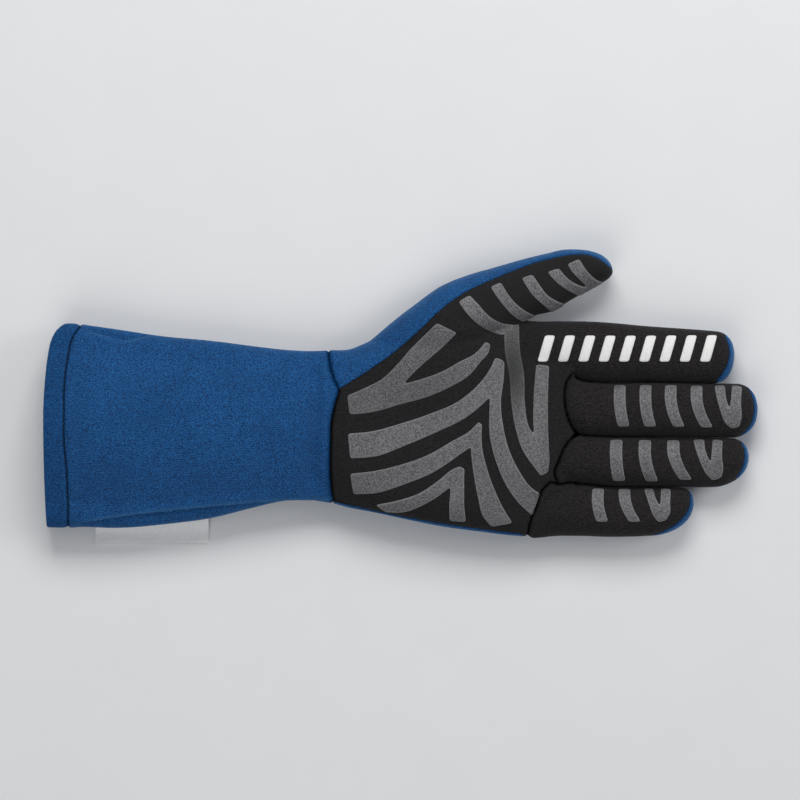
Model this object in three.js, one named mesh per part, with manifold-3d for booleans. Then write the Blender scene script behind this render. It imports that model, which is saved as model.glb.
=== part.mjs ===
// A left-hand racing glove with a long knit cuff. It lies palm up on its back.
// Millimetres. +X points to the fingertips, +Y to the thumb's side and +Z up, away from the surface.
import * as THREE from 'three';
import { mergeVertices } from 'three/addons/utils/BufferGeometryUtils.js';
import Module from 'manifold-3d';

const wasm = await Module();
wasm.setup();

// Driving dimensions
const WALL = 2; // knit shell and what it is bonded to
const GAP = 0.3; // between neighbouring pieces
const FINGER_GAP = 0.7; // between fingers that lie side by side
const PRINT_RISE = 0.8; // thickness of the grip print
const BAR_RISE = 0.6; // thickness of the light bars on the index finger
const PRESSED = 1.6; // how far the lying side is flattened by its rest
const HAND_SPLIT = 9; // height of the seam between the palm side and the back
const CUFF_SPLIT = 12; // the same on the cuff
const GUSSET_FOOT = 4.5; // height of the lower edge of the cuff's side strip
const MOUTH_BOWS = [5, 3]; // how far the middle of the two sections at the mouth stands out
const MOUTH_SLANT = 2.7; // how far the mouth's ends lie before and behind its middle
const ROUNDNESS = 2.3; // 2 is an ellipse, more is squarer
const WAIST = 0.44; // height of the widest place, as a share of the thickness
const THIRD = 0.6; // where the two outer tops of a section are, as a share of its half width
const CROWN_END = 0.75; // beyond this share of the half width the top gets no higher or lower
const SHOULDER = 0.4; // how much lower a finger's top is at its sides
const TIP_POWER = 2.2; // above 2 the ends are blunter than an ellipse
const TIP_ANGLES = [0, 30, 56, 78]; // degrees round an end at which it has a section
const OUTER_SIDES = { body: 24, finger: 14 }; // corners of each section
const INNER_SIDES = { body: 14, finger: 8 };
const PRINT_FOOT = HAND_SPLIT + 2; // the print reaches no lower than this
const MITRE_LIMIT = 2; // longest reach of an outline's corner when it grows, in times the distance

// Past the glove on each side, for the outlines that cut it
const TALL = 60;
const UNDER = -1;
const AHEAD = 180;
const BEHIND = -180;
const ASIDE = 90;

const COLOURS = {
  blue: { color: 0x1f5fa6, roughness: 0.85 },
  darkBlue: { color: 0x174a86, roughness: 0.85 },
  black: { color: 0x26252a, roughness: 0.8 },
  grip: { color: 0x77757a, roughness: 0.55 },
  white: { color: 0xeceae6, roughness: 0.6 },
};

// A table has named columns, and each of its rows becomes an object.
function table(columns, rows) {
  return rows.map((row) => Object.fromEntries(columns.map((name, i) => [name, row[i]])));
}

// Cuff, wrist and palm, from the mouth to the knuckles. The three tops are the heights of the thumb's
// third, the middle and the little finger's third of the palm side.
const BODY = table(['x', 'thumbY', 'littleY', 'thumbTop', 'midTop', 'littleTop'], [
  [-155.9, 32.6, -58.7, 25, 29, 25],
  [-146, 32.2, -59, 26, 30, 26],
  [-128, 30.2, -59.5, 26, 30, 26],
  [-88, 25, -55.5, 25, 28, 24.5],
  [-67, 22.4, -51, 25, 27, 24],
  [-48, 20.8, -47.3, 24.5, 26, 23.5],
  [-37, 20.5, -47.4, 23, 24, 22],
  [-31, 20.8, -48.2, 22, 23, 21.5],
  [-24, 20.9, -50, 24, 24, 23.5],
  [-12, 25.6, -52.4, 26.5, 24, 25],
  [2, 31, -55.4, 28.5, 24, 26],
  [18, 35.5, -58.6, 29, 24.5, 26.8],
  [36, 36.5, -61.2, 27, 25.5, 26.5],
  [50, 34.2, -62.8, 25, 26, 25],
  [61, 33.5, -63.3, 23.5, 24.2, 21.5],
  [70, 33.3, -63, 21.5, 20, 17.5],
  [78, 32.6, -62.8, 19, 15.5, 14.5],
]);

// Fingers. Neighbours share the line between them, and each keeps half of FINGER_GAP from it.
const FINGER_COLUMNS = ['x', 'thumbY', 'littleY', 'low', 'top'];
const FINGERS = {
  index: table(FINGER_COLUMNS, [
    [46, 28, 11, 3, 18],
    [62, 33.2, 9.2, 0.3, 21.3],
    [75, 33.8, 9, 0, 20.2],
    [82, 33.8, 6.8, 0, 19.8],
    [108, 32, 6.3, 0, 19],
    [130, 30.3, 5.8, 0, 17.3],
  ]),
  middle: table(FINGER_COLUMNS, [
    [58, 8.5, -16.5, 1, 16],
    [70, 9.2, -16.8, 0, 17.6],
    [76, 9, -16.9, 0, 18.7],
    [83, 6.8, -17.7, 0, 19.4],
    [108, 6.3, -18.4, 0, 19.2],
    [138, 5.7, -18.9, 0, 17.4],
  ]),
  ring: table(FINGER_COLUMNS, [
    [54, -18, -39, 1, 16],
    [64, -17, -39.6, 0, 17.2],
    [72, -16.9, -39.4, 0, 18.2],
    [81, -17.5, -39.4, 0, 19],
    [108, -18.4, -40.9, 0, 18.9],
    [128, -18.8, -41, 0, 17.6],
  ]),
  pinky: table(FINGER_COLUMNS, [
    [40, -41, -55, 3, 16],
    [54, -39.8, -62, 0.8, 17.4],
    [63, -39.6, -63.2, 0, 17.2],
    [71, -39.5, -63, 0, 18.1],
    [81, -39.4, -63.1, 0, 18.4],
    [95, -40.8, -63.5, 0, 18.3],
    [102, -40.9, -63.3, 0, 17.8],
  ]),
};

// The thumb's sections are slanted: each runs from the outer edge to the edge beside the index finger.
const THUMB = table(['outerX', 'outerY', 'innerX', 'innerY', 'low', 'top'], [
  [-14, 24.6, 3, 3, 3, 20],
  [5, 40.2, 23, 15, 0, 27],
  [17.5, 49.2, 38, 22, 0, 26.5],
  [31, 54.6, 50.5, 31, 0, 24],
  [42.5, 58, 60, 36.2, 0, 22.5],
  [54, 61.3, 68, 38.2, 0, 21.5],
  [65, 64.1, 78, 44, 0, 20.4],
]);

// Rounded ends: where the thumb's side and the little finger's side start to turn in, the tip, the slope
// of the little finger's side, and the height of the top where the end starts
const TIPS = Object.fromEntries(table(
  ['name', 'thumbX', 'thumbY', 'littleX', 'littleY', 'tipX', 'tipY', 'slope', 'top'],
  [
    ['index', 141, 29.3, 138, 5.7, 150.2, 19.3, 0, 16.6],
    ['middle', 149.5, 5.5, 146.5, -18.9, 161, -5.8, 0, 16.4],
    ['ring', 148.5, -18.9, 136.5, -41, 156.7, -27.5, 0, 16.6],
    ['pinky', 125.5, -41.1, 109.5, -63, 132, -48, 0, 17],
    ['thumb', 77.5, 66.3, 91.6, 51.4, 95.5, 55.8, 0.58, 19],
  ],
).map((tip) => [tip.name, tip]));

// Seam lines in plan, as [x, y]
const WRIST_SEAM = [[-32.5, 21], [-31.5, 13.5], [-30, 8], [-28, 3], [-29.5, -3.5], [-31, -11],
  [-31.5, -22], [-31.5, -38], [-30.5, -47.5]];
const HEM_SEAM = [[-144, 31.5], [-147.5, 26], [-149.5, 17], [-150.8, 6], [-151, -8], [-151, -20],
  [-150, -33], [-149.5, -46], [-149.5, -59]];
const CUFF_FOLD = [[-151, -58.3], [-135, -55.5], [-108, -52], [-72, -48.5], [-45, -46.6], [-29, -47]];
const THUMB_EDGE = [[-28, 3], [-16, 10.5], [-2.5, 20], [10.5, 31.5], [17, 38], [29.5, 47], [45, 54],
  [63, 60.8], [77.5, 63.8], [84, 63.7], [88.2, 62.2], [91.6, 60.1], [94.2, 58], [98, 55.5]];
const THUMB_SEAM = [[17, 38], [23, 34], [30, 31.5], [40, 29.2], [45, 27], [49, 29], [54, 33]];
const THUMB_ROOT = [[-28, 3], [-9, 10], [13, 22], [30, 26.5], [45, 27], [49, 29], [54, 33]];
const THUMB_CLEFT = [[58, 34.4], [64, 36], [100, 42]];
const LITTLE_EDGE = [[-31, -46.6], [-18, -50.3], [0, -54.2], [18, -57.4], [33.5, -59.8], [54, -62.1]];
const MIDDLE_SEAM = [[77.5, 10], [75, 6.5], [74, 0.5], [74.5, -6.5], [77, -13.5], [79.5, -17]];
const RING_SEAM = [[79.5, -17], [74.5, -22], [71, -30], [69.5, -35], [71.5, -40]];
const PINKY_SEAM = [[71.5, -40], [68, -39], [64.5, -42], [61.5, -49.5], [58.5, -57], [57, -64]];
const CREASE_INDEX_MIDDLE = [[82.5, 6.8], [92, 6], [108, 6.3], [124, 6.2], [140, 5.6]];
const CREASE_MIDDLE_RING = [[83, -17.7], [92, -18.1], [108, -18.4], [124, -18.7], [140, -18.9]];
const CREASE_RING_PINKY = [[81, -39.4], [92, -40.7], [103, -40.9], [124, -40.9]];

// Where the blue back comes over each fingertip, from the little finger's side to the thumb's side
const TIP_INDEX = [[141.6, 5.7], [144.9, 10.4], [147.1, 14.6], [148, 19], [147.6, 23], [146.2, 27]];
const TIP_MIDDLE = [[150.5, -19.5], [154.2, -16.9], [157.2, -13.6], [159, -9], [159.4, -5],
  [158.7, -0.6], [156.9, 3.2], [154, 6.2]];
const TIP_RING = [[149.5, -40], [152.3, -35.5], [154, -31.8], [154.9, -28], [154.8, -24.5],
  [153.6, -21], [151.5, -18.3]];
const TIP_PINKY = [[110, -64], [119.5, -60.3], [125.5, -56.4], [128.8, -52.4], [130.3, -48.4],
  [130.4, -45], [129.4, -41.5]];

// Round the outsides of the index, ring and little fingers and of the thumb, clear of the glove
const INDEX_OUTSIDE = [[146, 31], [146, 37], [66, 37]];
const RING_OUTSIDE = [[134, -44], [148, -43]];
const LITTLE_OUTSIDE = [[57, -68], [110, -68]];
const THUMB_OUTSIDE = [[100, 53]];

// The grip print on the palm and thumb is made of bands. Each row is a place along the band, with its two
// edges. Bands with one name are one piece.
const BAND_COLUMNS = ['leftX', 'leftY', 'rightX', 'rightY'];
const BANDS = {
  grip_palm_fork: [
    [[-23.5, 0, -22.5, -8], [-13, 2.3, -12, -7], [-1, 4.8, 0.5, -3.5], [9, 7.4, 11.5, -0.5],
      [18, 10.6, 22, 4], [27, 15.5, 31, 9.5], [33.5, 19, 36, 15.5], [36.5, 22, 39.5, 19.5],
      [38, 24.3, 40.5, 23.3]],
    [[-23.5, 0, -22.5, -8], [-16, 3.5, -13, -6.5], [-8.6, 7.3, -4.5, -1], [-1.4, 14, 3.9, 8.4],
      [5.1, 21.5, 10.5, 14.8], [11.7, 28, 17.6, 20.8], [16.4, 32.6, 25.2, 28.2]],
  ],
  grip_palm_large: [
    [[-23.5, -17, -22.5, -28], [-13, -16, -11, -27], [0, -12.5, 2.5, -22], [13.5, -8, 16.5, -16],
      [26, -2.5, 29.5, -9.5], [33.5, 3.5, 39.5, -1], [39, 10, 45, 5], [42.8, 16.8, 46.2, 15.2]],
    [[42.8, 17, 46.4, 15.4], [40.7, 5, 46.2, 8], [40, -6.5, 45, -3.5], [40.2, -18, 46.1, -14],
      [43, -29.5, 48.9, -24.8], [47.4, -39.8, 54, -35], [52.8, -47.6, 58.4, -41],
      [59.4, -53.8, 62.9, -44.2]],
  ],
  grip_palm_middle: [
    [[-22.5, -35, -21, -44], [-13, -34, -11, -43.5], [0, -31, 2, -39.5], [12.5, -26.5, 15, -34],
      [23, -20.5, 25.5, -27], [31.5, -15.5, 34, -20], [35.3, -11.5, 36.3, -13.5]],
    [[31.8, -18, 36.3, -12.5], [31.7, -23.5, 36.6, -23], [33, -35.5, 39.2, -34],
      [34.8, -45.2, 42.6, -43.2], [37.2, -54, 46.4, -51], [41, -58.6, 50.2, -57]],
  ],
  grip_palm_low: [
    [[-11, -49, -6.5, -52], [-1, -47, 1.5, -52], [8, -44, 11, -48.5], [16.5, -38.5, 19.5, -43],
      [23.5, -33, 26.5, -37], [27, -31.5, 28.5, -33.5]],
    [[22.5, -34, 28.5, -32.5], [22.5, -42.5, 28.5, -42.5], [22, -49, 28.5, -48.5],
      [22.2, -56, 29.3, -56.5]],
  ],
  grip_palm_vee: [
    [[46.2, 28, 52.9, 31.6], [47.2, 19.5, 53.8, 20], [49, 9.5, 55.5, 9.5], [50, -4, 56, -4],
      [52, -15.5, 58.5, -15.5], [55, -24.5, 63, -20], [59, -30.5, 66.5, -26.5], [63, -35.6, 66, -34]],
    [[61, 14, 66.7, 13.5], [60, 0.5, 66.2, 0.5], [60, -14.5, 66.3, -14.5], [61, -24.5, 66.5, -26.5],
      [63, -35.6, 66, -34]],
  ],
  grip_thumb_1: [
    [[26.2, 42.3, 31, 45.2], [29.3, 37.9, 34.9, 41], [34, 33, 39.6, 35.9], [39.5, 29.4, 45, 32.6],
      [45.6, 28.6, 53, 32.4]],
  ],
  grip_thumb_2: [
    [[40.6, 49, 45, 50.9], [43, 45.2, 48.4, 45.3], [46.8, 40.2, 52.4, 40.8], [50.8, 36, 57, 37.6],
      [55, 33.4, 61.5, 35.8]],
  ],
  grip_thumb_3: [
    [[54.6, 52.9, 59.3, 54.4], [56.5, 49.6, 62.2, 50], [60, 44.8, 66, 45.2], [64.5, 40.9, 71, 42.3],
      [68.5, 37.5, 77, 40.5]],
  ],
  grip_thumb_tip: [
    [[66.2, 55.7, 71.2, 57.3], [68, 53.4, 72.9, 55], [71.4, 50.2, 76, 52], [76, 47.2, 80, 49.7],
      [82.5, 45, 84, 48.8], [88, 46.5, 91, 51]],
    [[75.1, 59.2, 80.3, 61.5], [79.6, 53.3, 84.8, 54.9], [83.2, 49.8, 88.5, 51.9],
      [85.5, 46.5, 92, 50.8]],
  ],
};

// The bars across the three fingers bow towards the palm and lean to the fingertip at their lower end.
const BAR_WIDTH = 5.1;
const BARS = table(['name', 'x', 'y', 'width', 'length', 'lean', 'bow'], [
  ['grip_middle_1', 98.7, 4.6, BAR_WIDTH, 18, 1.6, 1.8],
  ['grip_middle_2', 110.3, 4.6, BAR_WIDTH, 18.2, 2, 2.2],
  ['grip_middle_3', 121.6, 4.5, BAR_WIDTH, 18.2, 3.6, 2.6],
  ['grip_middle_4', 133.2, 4.2, BAR_WIDTH, 18.1, 4.6, 2.6],
  ['grip_ring_1', 97.1, -20.1, BAR_WIDTH + 0.3, 17.8, 1.2, 1.8],
  ['grip_ring_2', 110, -20.1, BAR_WIDTH + 0.3, 17.9, 3.1, 2.6],
  ['grip_ring_3', 122.7, -20, BAR_WIDTH + 0.3, 17.4, 5.6, 2.4],
  ['grip_pinky_1', 88.9, -42, BAR_WIDTH, 14.3, 1.8, 2.2],
  ['grip_pinky_2', 100.7, -42, BAR_WIDTH, 14.3, 4.6, 1.4],
]);

// Each of those fingers ends in a print shaped like a V.
const FINGER_VEES = {
  grip_middle_tip: [
    [[141.3, 4.3, 145.9, 4.5], [142.2, -0.5, 146.2, -0.5], [143.8, -6.3, 147.8, -5.5],
      [146.4, -12.3, 151, -10], [148.7, -14.2, 152.2, -13.4]],
    [[149.2, 4.5, 153.6, 3.9], [148.2, -5, 153, -4.5], [147.6, -8, 153.3, -9.5],
      [148.7, -14.2, 152.2, -13.4]],
  ],
  grip_ring_tip: [
    [[131.8, -19.6, 136.6, -19.6], [133, -24.5, 136.9, -24], [135.2, -30.5, 139, -29.3],
      [137.4, -34.8, 142, -33], [140.2, -37.5, 144.2, -36.2]],
    [[140.6, -19.6, 144.9, -20.2], [139.6, -29.5, 144.6, -29], [139.3, -32, 145, -33],
      [140.2, -37.5, 144.2, -36.2]],
  ],
  grip_pinky_tip: [
    [[109.6, -41.9, 113.6, -41.9], [110.6, -45, 114.2, -44.8], [112, -49.3, 116, -48.8],
      [113.6, -53.5, 118.5, -52], [115.8, -56.2, 119.4, -55.4]],
    [[117.3, -41.9, 121.5, -42.2], [116.8, -49.2, 121.1, -49.2], [116.6, -51, 121.2, -52],
      [115.8, -56.2, 119.4, -55.4]],
  ],
};

// A row of light slanted bars on the index finger
const INDEX_BARS = { count: 9, firstX: 65.5, lastX: 138.5, y: 21.3, length: 11.6, width: 4.4, slant: 3.4 };

// The woven tab at the side of the cuff: it hangs from the side seam and lies down on the surface
const LABEL = {
  fromX: -137.5, toX: -86.5, seamY: -52, seamZ: 5.5, edgeY: -66.15, edgeZ: 0.9, thickness: 0.9,
};

// Geometry to solid and back

function toSolid(geometry) {
  const bare = geometry.index ? geometry.toNonIndexed() : geometry.clone();
  bare.deleteAttribute('normal');
  bare.deleteAttribute('uv');
  const merged = mergeVertices(bare, 1e-4);
  const mesh = new wasm.Mesh({
    numProp: 3,
    vertProperties: new Float32Array(merged.attributes.position.array),
    triVerts: new Uint32Array(merged.index.array),
  });
  return new wasm.Manifold(mesh);
}

function toGeometry(solid) {
  const mesh = solid.getMesh();
  const geometry = new THREE.BufferGeometry();
  geometry.setAttribute('position', new THREE.BufferAttribute(new Float32Array(mesh.vertProperties), 3));
  geometry.setIndex(new THREE.BufferAttribute(new Uint32Array(mesh.triVerts), 1));
  geometry.computeVertexNormals();
  return geometry;
}

const join = (solids) => solids.reduce((sum, solid) => sum.add(solid));

// Sections and lofts

const signedPower = (value, power) => Math.sign(value) * Math.abs(value) ** power;

// The palm side's height at a place across the section, -1 at the little finger and 1 at the thumb
function crownHeight(section, across) {
  const u = THREE.MathUtils.clamp(across, -CROWN_END, CROWN_END) / THIRD;
  const tilt = (section.thumbTop - section.littleTop) / 2;
  const hollow = (section.thumbTop + section.littleTop) / 2 - section.midTop;
  return section.midTop + tilt * u + hollow * u * u;
}

// A ring of points round one section. Offset moves it out (or in, when negative).
// A section's fullness is less than 1 towards a fingertip, where the offset goes along the finger.
function ring(section, offset, sides) {
  const { thumb, little, along, fullness = 1, bow = 0 } = section;
  const middle = thumb.clone().add(little).multiplyScalar(0.5);
  const across = thumb.clone().sub(middle);
  const half = across.length();
  across.normalize();
  const sideways = offset * fullness;
  const lengthways = offset * Math.sqrt(1 - fullness * fullness);
  const waist = section.low + WAIST * (section.midTop - section.low);
  const points = [];
  for (let i = 0; i < sides; i++) {
    const angle = (2 * Math.PI * i) / sides;
    const u = signedPower(Math.cos(angle), 2 / ROUNDNESS);
    const v = signedPower(Math.sin(angle), 2 / ROUNDNESS);
    const up = crownHeight(section, u) + offset - waist;
    const down = waist - section.low + offset + PRESSED;
    const z = v > 0 ? waist + v * up : Math.max(waist + v * down, section.low - offset);
    const plan = middle.clone()
      .addScaledVector(across, u * (half + sideways))
      .addScaledVector(along, lengthways - bow * (1 - u * u));
    points.push(new THREE.Vector3(plan.x, plan.y, z));
  }
  return points;
}

function loft(rings) {
  const sides = rings[0].length;
  const positions = rings.flat().flatMap((p) => [p.x, p.y, p.z]);
  const index = [];
  for (let r = 0; r + 1 < rings.length; r++) {
    for (let s = 0; s < sides; s++) {
      const a = r * sides + s;
      const b = r * sides + ((s + 1) % sides);
      index.push(a, b, a + sides, b, b + sides, a + sides);
    }
  }
  const last = (rings.length - 1) * sides;
  for (let s = 1; s + 1 < sides; s++) {
    index.push(0, s + 1, s, last, last + s, last + s + 1);
  }
  const geometry = new THREE.BufferGeometry();
  geometry.setAttribute('position', new THREE.Float32BufferAttribute(positions, 3));
  geometry.setIndex(index);
  return toSolid(geometry);
}

// Sections from the tables

const FORWARD = new THREE.Vector2(1, 0);

const bodySections = BODY.map((row, i) => ({
  thumb: new THREE.Vector2(row.x, row.thumbY),
  little: new THREE.Vector2(row.x, row.littleY),
  along: FORWARD,
  low: 0,
  thumbTop: row.thumbTop,
  midTop: row.midTop,
  littleTop: row.littleTop,
  bow: MOUTH_BOWS[i],
}));
// The mouth runs at a slant: it starts further back at the little finger's side.
bodySections[0].thumb.x += MOUTH_SLANT;
bodySections[0].little.x -= MOUTH_SLANT;

const QUARTER_BACK = -Math.PI / 2;

// A finger's section lies between its edge on the thumb's side and its edge on the little finger's side.
function fingerSection(thumb, little, low, top, fullness = 1) {
  const along = thumb.clone().sub(little).normalize().rotateAround(new THREE.Vector2(), QUARTER_BACK);
  return {
    thumb, little, along, low, fullness, thumbTop: top - SHOULDER, midTop: top, littleTop: top - SHOULDER,
  };
}

// The sections of a rounded end, which all lie at one waist height
function roundEnd({ thumbX, thumbY, littleX, littleY, tipX, tipY, slope, top }) {
  const tip = new THREE.Vector2(tipX, tipY);
  const waist = WAIST * top;
  const sides = [[thumbX, thumbY, 0], [littleX, littleY, slope]].map(([x, y, sideSlope]) => {
    const corner = new THREE.Vector2(x, tipY - sideSlope * (tipX - x));
    return { corner, start: new THREE.Vector2(x, y).sub(corner) };
  });
  return TIP_ANGLES.map((degrees) => {
    const angle = THREE.MathUtils.degToRad(degrees);
    const across = Math.cos(angle) ** (2 / TIP_POWER);
    const ahead = Math.sin(angle) ** (2 / TIP_POWER);
    const [thumb, little] = sides.map(({ corner, start }) =>
      corner.clone().lerp(tip, ahead).addScaledVector(start, across));
    return fingerSection(thumb, little, waist * (1 - across), waist + (top - waist) * across, across);
  });
}

// Fingers that lie side by side keep a gap. The thumb lies by itself.
function narrowed(section) {
  const thumb = new THREE.Vector2(section.thumb.x, section.thumb.y - FINGER_GAP / 2);
  const little = new THREE.Vector2(section.little.x, section.little.y + FINGER_GAP / 2);
  return { ...section, thumb, little };
}

const fingers = Object.entries(FINGERS).map(([name, rows]) => {
  const straight = rows.map((row) => fingerSection(new THREE.Vector2(row.x, row.thumbY),
    new THREE.Vector2(row.x, row.littleY), row.low, row.top));
  return [...straight, ...roundEnd(TIPS[name])].map(narrowed);
});

const thumb = [
  ...THUMB.map((row) => fingerSection(new THREE.Vector2(row.outerX, row.outerY),
    new THREE.Vector2(row.innerX, row.innerY), row.low, row.top)),
  ...roundEnd(TIPS.thumb),
];

// The whole glove as one solid, offset outwards or inwards. Inwards, it runs out through the mouth.
function gloveSolid(offset, sides = OUTER_SIDES) {
  const bodyRings = bodySections.map((section) => ring(section, offset, sides.body));
  if (offset < 0) {
    const runOut = new THREE.Vector3(2 * offset, 0, 0);
    bodyRings.at(-1).forEach((point) => { point.x += offset; });
    bodyRings.unshift(bodyRings[0].map((point) => point.clone().add(runOut)));
  }
  const tubes = [...fingers, thumb].map((sections) =>
    loft(sections.map((section) => ring(section, offset, sides.finger))));
  return join([loft(bodyRings), ...tubes]);
}

// Outlines in plan

const vectors = (points) => points.map(([x, y]) => new THREE.Vector2(x, y));

// Moves a closed outline outwards, or inwards when the distance is negative.
function grow(outline, distance) {
  const turn = THREE.ShapeUtils.isClockWise(outline) ? -1 : 1;
  return outline.map((point, i) => {
    const before = outline.at(i - 1);
    const after = outline[(i + 1) % outline.length];
    const first = point.clone().sub(before).normalize();
    const second = after.clone().sub(point).normalize();
    const normal = new THREE.Vector2(first.y + second.y, -first.x - second.x).multiplyScalar(turn);
    const reach = Math.min(MITRE_LIMIT, 2 / Math.max(normal.lengthSq(), 1));
    return point.clone().addScaledVector(normal, distance * reach);
  });
}

function prism(outline, low, high) {
  const shape = new THREE.Shape(outline);
  const geometry = new THREE.ExtrudeGeometry(shape, { depth: high - low, bevelEnabled: false, steps: 1 });
  geometry.translate(0, 0, low);
  return toSolid(geometry);
}

const backwards = (points) => [...points].reverse();

// Regions of the palm side, each a closed outline
const PALM_REGION = vectors([...WRIST_SEAM.slice(3), ...LITTLE_EDGE.slice(1), ...backwards(PINKY_SEAM),
  ...backwards(RING_SEAM).slice(1), ...backwards(MIDDLE_SEAM).slice(1), ...CREASE_INDEX_MIDDLE,
  ...TIP_INDEX, ...INDEX_OUTSIDE, ...backwards(THUMB_CLEFT.slice(0, 1)), ...backwards(THUMB_SEAM),
  ...backwards(THUMB_EDGE.slice(1, 4))]);
const MIDDLE_REGION = vectors([...MIDDLE_SEAM, ...CREASE_MIDDLE_RING, ...TIP_MIDDLE,
  ...backwards(CREASE_INDEX_MIDDLE)]);
const RING_REGION = vectors([...RING_SEAM, ...CREASE_RING_PINKY, ...RING_OUTSIDE, ...TIP_RING,
  ...backwards(CREASE_MIDDLE_RING)]);
const PINKY_REGION = vectors([...PINKY_SEAM, ...LITTLE_OUTSIDE, ...TIP_PINKY,
  ...backwards(CREASE_RING_PINKY)]);
const THUMB_REGION = vectors([...THUMB_SEAM, ...THUMB_CLEFT, ...THUMB_OUTSIDE,
  ...backwards(THUMB_EDGE.slice(5))]);

// Everything to one side of a seam line. A far side is closed past the glove, straight out from the
// line's ends.
const [WRIST_AT_THUMB] = WRIST_SEAM[0];
const [WRIST_AT_LITTLE] = WRIST_SEAM.at(-1);
const [HEM_AT_THUMB] = HEM_SEAM[0];
const [HEM_AT_LITTLE] = HEM_SEAM.at(-1);
const THUMB_SIDE = vectors([...THUMB_ROOT, ...THUMB_CLEFT, [THUMB_OUTSIDE[0][0], ASIDE],
  [WRIST_AT_THUMB, ASIDE], ...WRIST_SEAM.slice(0, 3)]);
const HAND_SIDE = vectors([...WRIST_SEAM, [WRIST_AT_LITTLE, -ASIDE], [AHEAD, -ASIDE], [AHEAD, ASIDE],
  [WRIST_AT_THUMB, ASIDE]]);
const HEM_SIDE = vectors([...HEM_SEAM, [HEM_AT_LITTLE, -ASIDE], [BEHIND, -ASIDE], [BEHIND, ASIDE],
  [HEM_AT_THUMB, ASIDE]]);
const FOLD_SIDE = vectors([...CUFF_FOLD, [CUFF_FOLD.at(-1)[0], -ASIDE], [CUFF_FOLD[0][0], -ASIDE]]);
const CUFF_SIDE = vectors([[BEHIND, -ASIDE], [0, -ASIDE], [0, ASIDE], [BEHIND, ASIDE]]);

// The shell and its panels

const shell = gloveSolid(0).subtract(gloveSolid(-WALL, INNER_SIDES));

const region = (outline, low, high, distance = -GAP / 2) => prism(grow(outline, distance), low, high);

const hand = shell.intersect(region(HAND_SIDE, UNDER, TALL));
const hem = shell.intersect(region(HEM_SIDE, UNDER, TALL));
const cuff = shell
  .subtract(region(HAND_SIDE, UNDER, TALL, GAP / 2))
  .subtract(region(HEM_SIDE, UNDER, TALL, GAP / 2));

const PALM_SIDE_REGIONS = {
  palm_panel: PALM_REGION,
  middle_front: MIDDLE_REGION,
  ring_front: RING_REGION,
  pinky_front: PINKY_REGION,
  thumb_front: THUMB_REGION,
};

const group = new THREE.Group();

function addPiece(name, solid, look) {
  const material = new THREE.MeshStandardMaterial({ ...COLOURS[look], metalness: 0 });
  const mesh = new THREE.Mesh(toGeometry(solid), material);
  mesh.name = name;
  group.add(mesh);
}

function addPalmSide() {
  for (const [name, outline] of Object.entries(PALM_SIDE_REGIONS)) {
    addPiece(name, hand.intersect(region(outline, HAND_SPLIT + GAP / 2, TALL)), 'black');
  }
}

function addBack() {
  const fronts = join(Object.values(PALM_SIDE_REGIONS)
    .map((outline) => region(outline, HAND_SPLIT - GAP / 2, TALL, GAP / 2)));
  const backs = hand.subtract(fronts);
  addPiece('thumb_back', backs.intersect(region(THUMB_SIDE, UNDER, TALL)), 'blue');
  addPiece('back_panel', backs.subtract(region(THUMB_SIDE, UNDER, TALL, GAP / 2)), 'blue');
}

function addCuff() {
  addPiece('cuff_hem', hem, 'blue');
  const strip = region(FOLD_SIDE, GUSSET_FOOT + GAP / 2, TALL);
  const stripRoom = region(FOLD_SIDE, GUSSET_FOOT - GAP / 2, TALL, GAP / 2);
  const rest = cuff.subtract(stripRoom);
  addPiece('cuff_gusset', cuff.intersect(strip), 'darkBlue');
  addPiece('cuff_front', rest.intersect(prism(CUFF_SIDE, CUFF_SPLIT + GAP / 2, TALL)), 'blue');
  addPiece('cuff_back', rest.intersect(prism(CUFF_SIDE, UNDER, CUFF_SPLIT - GAP / 2)), 'blue');
}

// Raised print

// The outline of a band: along its left edge and back along its right one
function bandOutline(rows) {
  const left = rows.map((row) => new THREE.Vector2(row.leftX, row.leftY));
  const right = rows.map((row) => new THREE.Vector2(row.rightX, row.rightY));
  return [...left, ...right.reverse()];
}

// A straight, bowed or leaning bar that starts at its upper end
function barRows({ x, y, width, length, lean, bow }) {
  return [0, 0.35, 0.7, 1].map((share) => {
    const middle = x + lean * share ** 2 - bow * share * (1 - share);
    const across = y - length * share;
    return { leftX: middle - width / 2, leftY: across, rightX: middle + width / 2, rightY: across };
  });
}

const printLayer = gloveSolid(GAP + PRINT_RISE).subtract(gloveSolid(GAP));
const barLayer = gloveSolid(GAP + BAR_RISE).subtract(gloveSolid(GAP));

const printed = (layer, outlines) =>
  layer.intersect(join(outlines.map((outline) => prism(outline, PRINT_FOOT, TALL))));

function addGrips() {
  for (const [name, bands] of Object.entries({ ...BANDS, ...FINGER_VEES })) {
    const outlines = bands.map((rows) => bandOutline(table(BAND_COLUMNS, rows)));
    addPiece(name, printed(printLayer, outlines), 'grip');
  }
  for (const bar of BARS) {
    addPiece(bar.name, printed(printLayer, [bandOutline(barRows(bar))]), 'grip');
  }
}

function addIndexBars() {
  const { count, firstX, lastX, y, length, width, slant } = INDEX_BARS;
  for (let i = 0; i < count; i++) {
    const x = firstX + ((lastX - firstX) * i) / (count - 1);
    const rows = [0, 1].map((share) => {
      const middle = x + slant * (0.5 - share);
      const across = y + length * (0.5 - share);
      return { leftX: middle - width / 2, leftY: across, rightX: middle + width / 2, rightY: across };
    });
    addPiece(`index_bar_${i + 1}`, printed(barLayer, [bandOutline(rows)]), 'white');
  }
}

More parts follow.
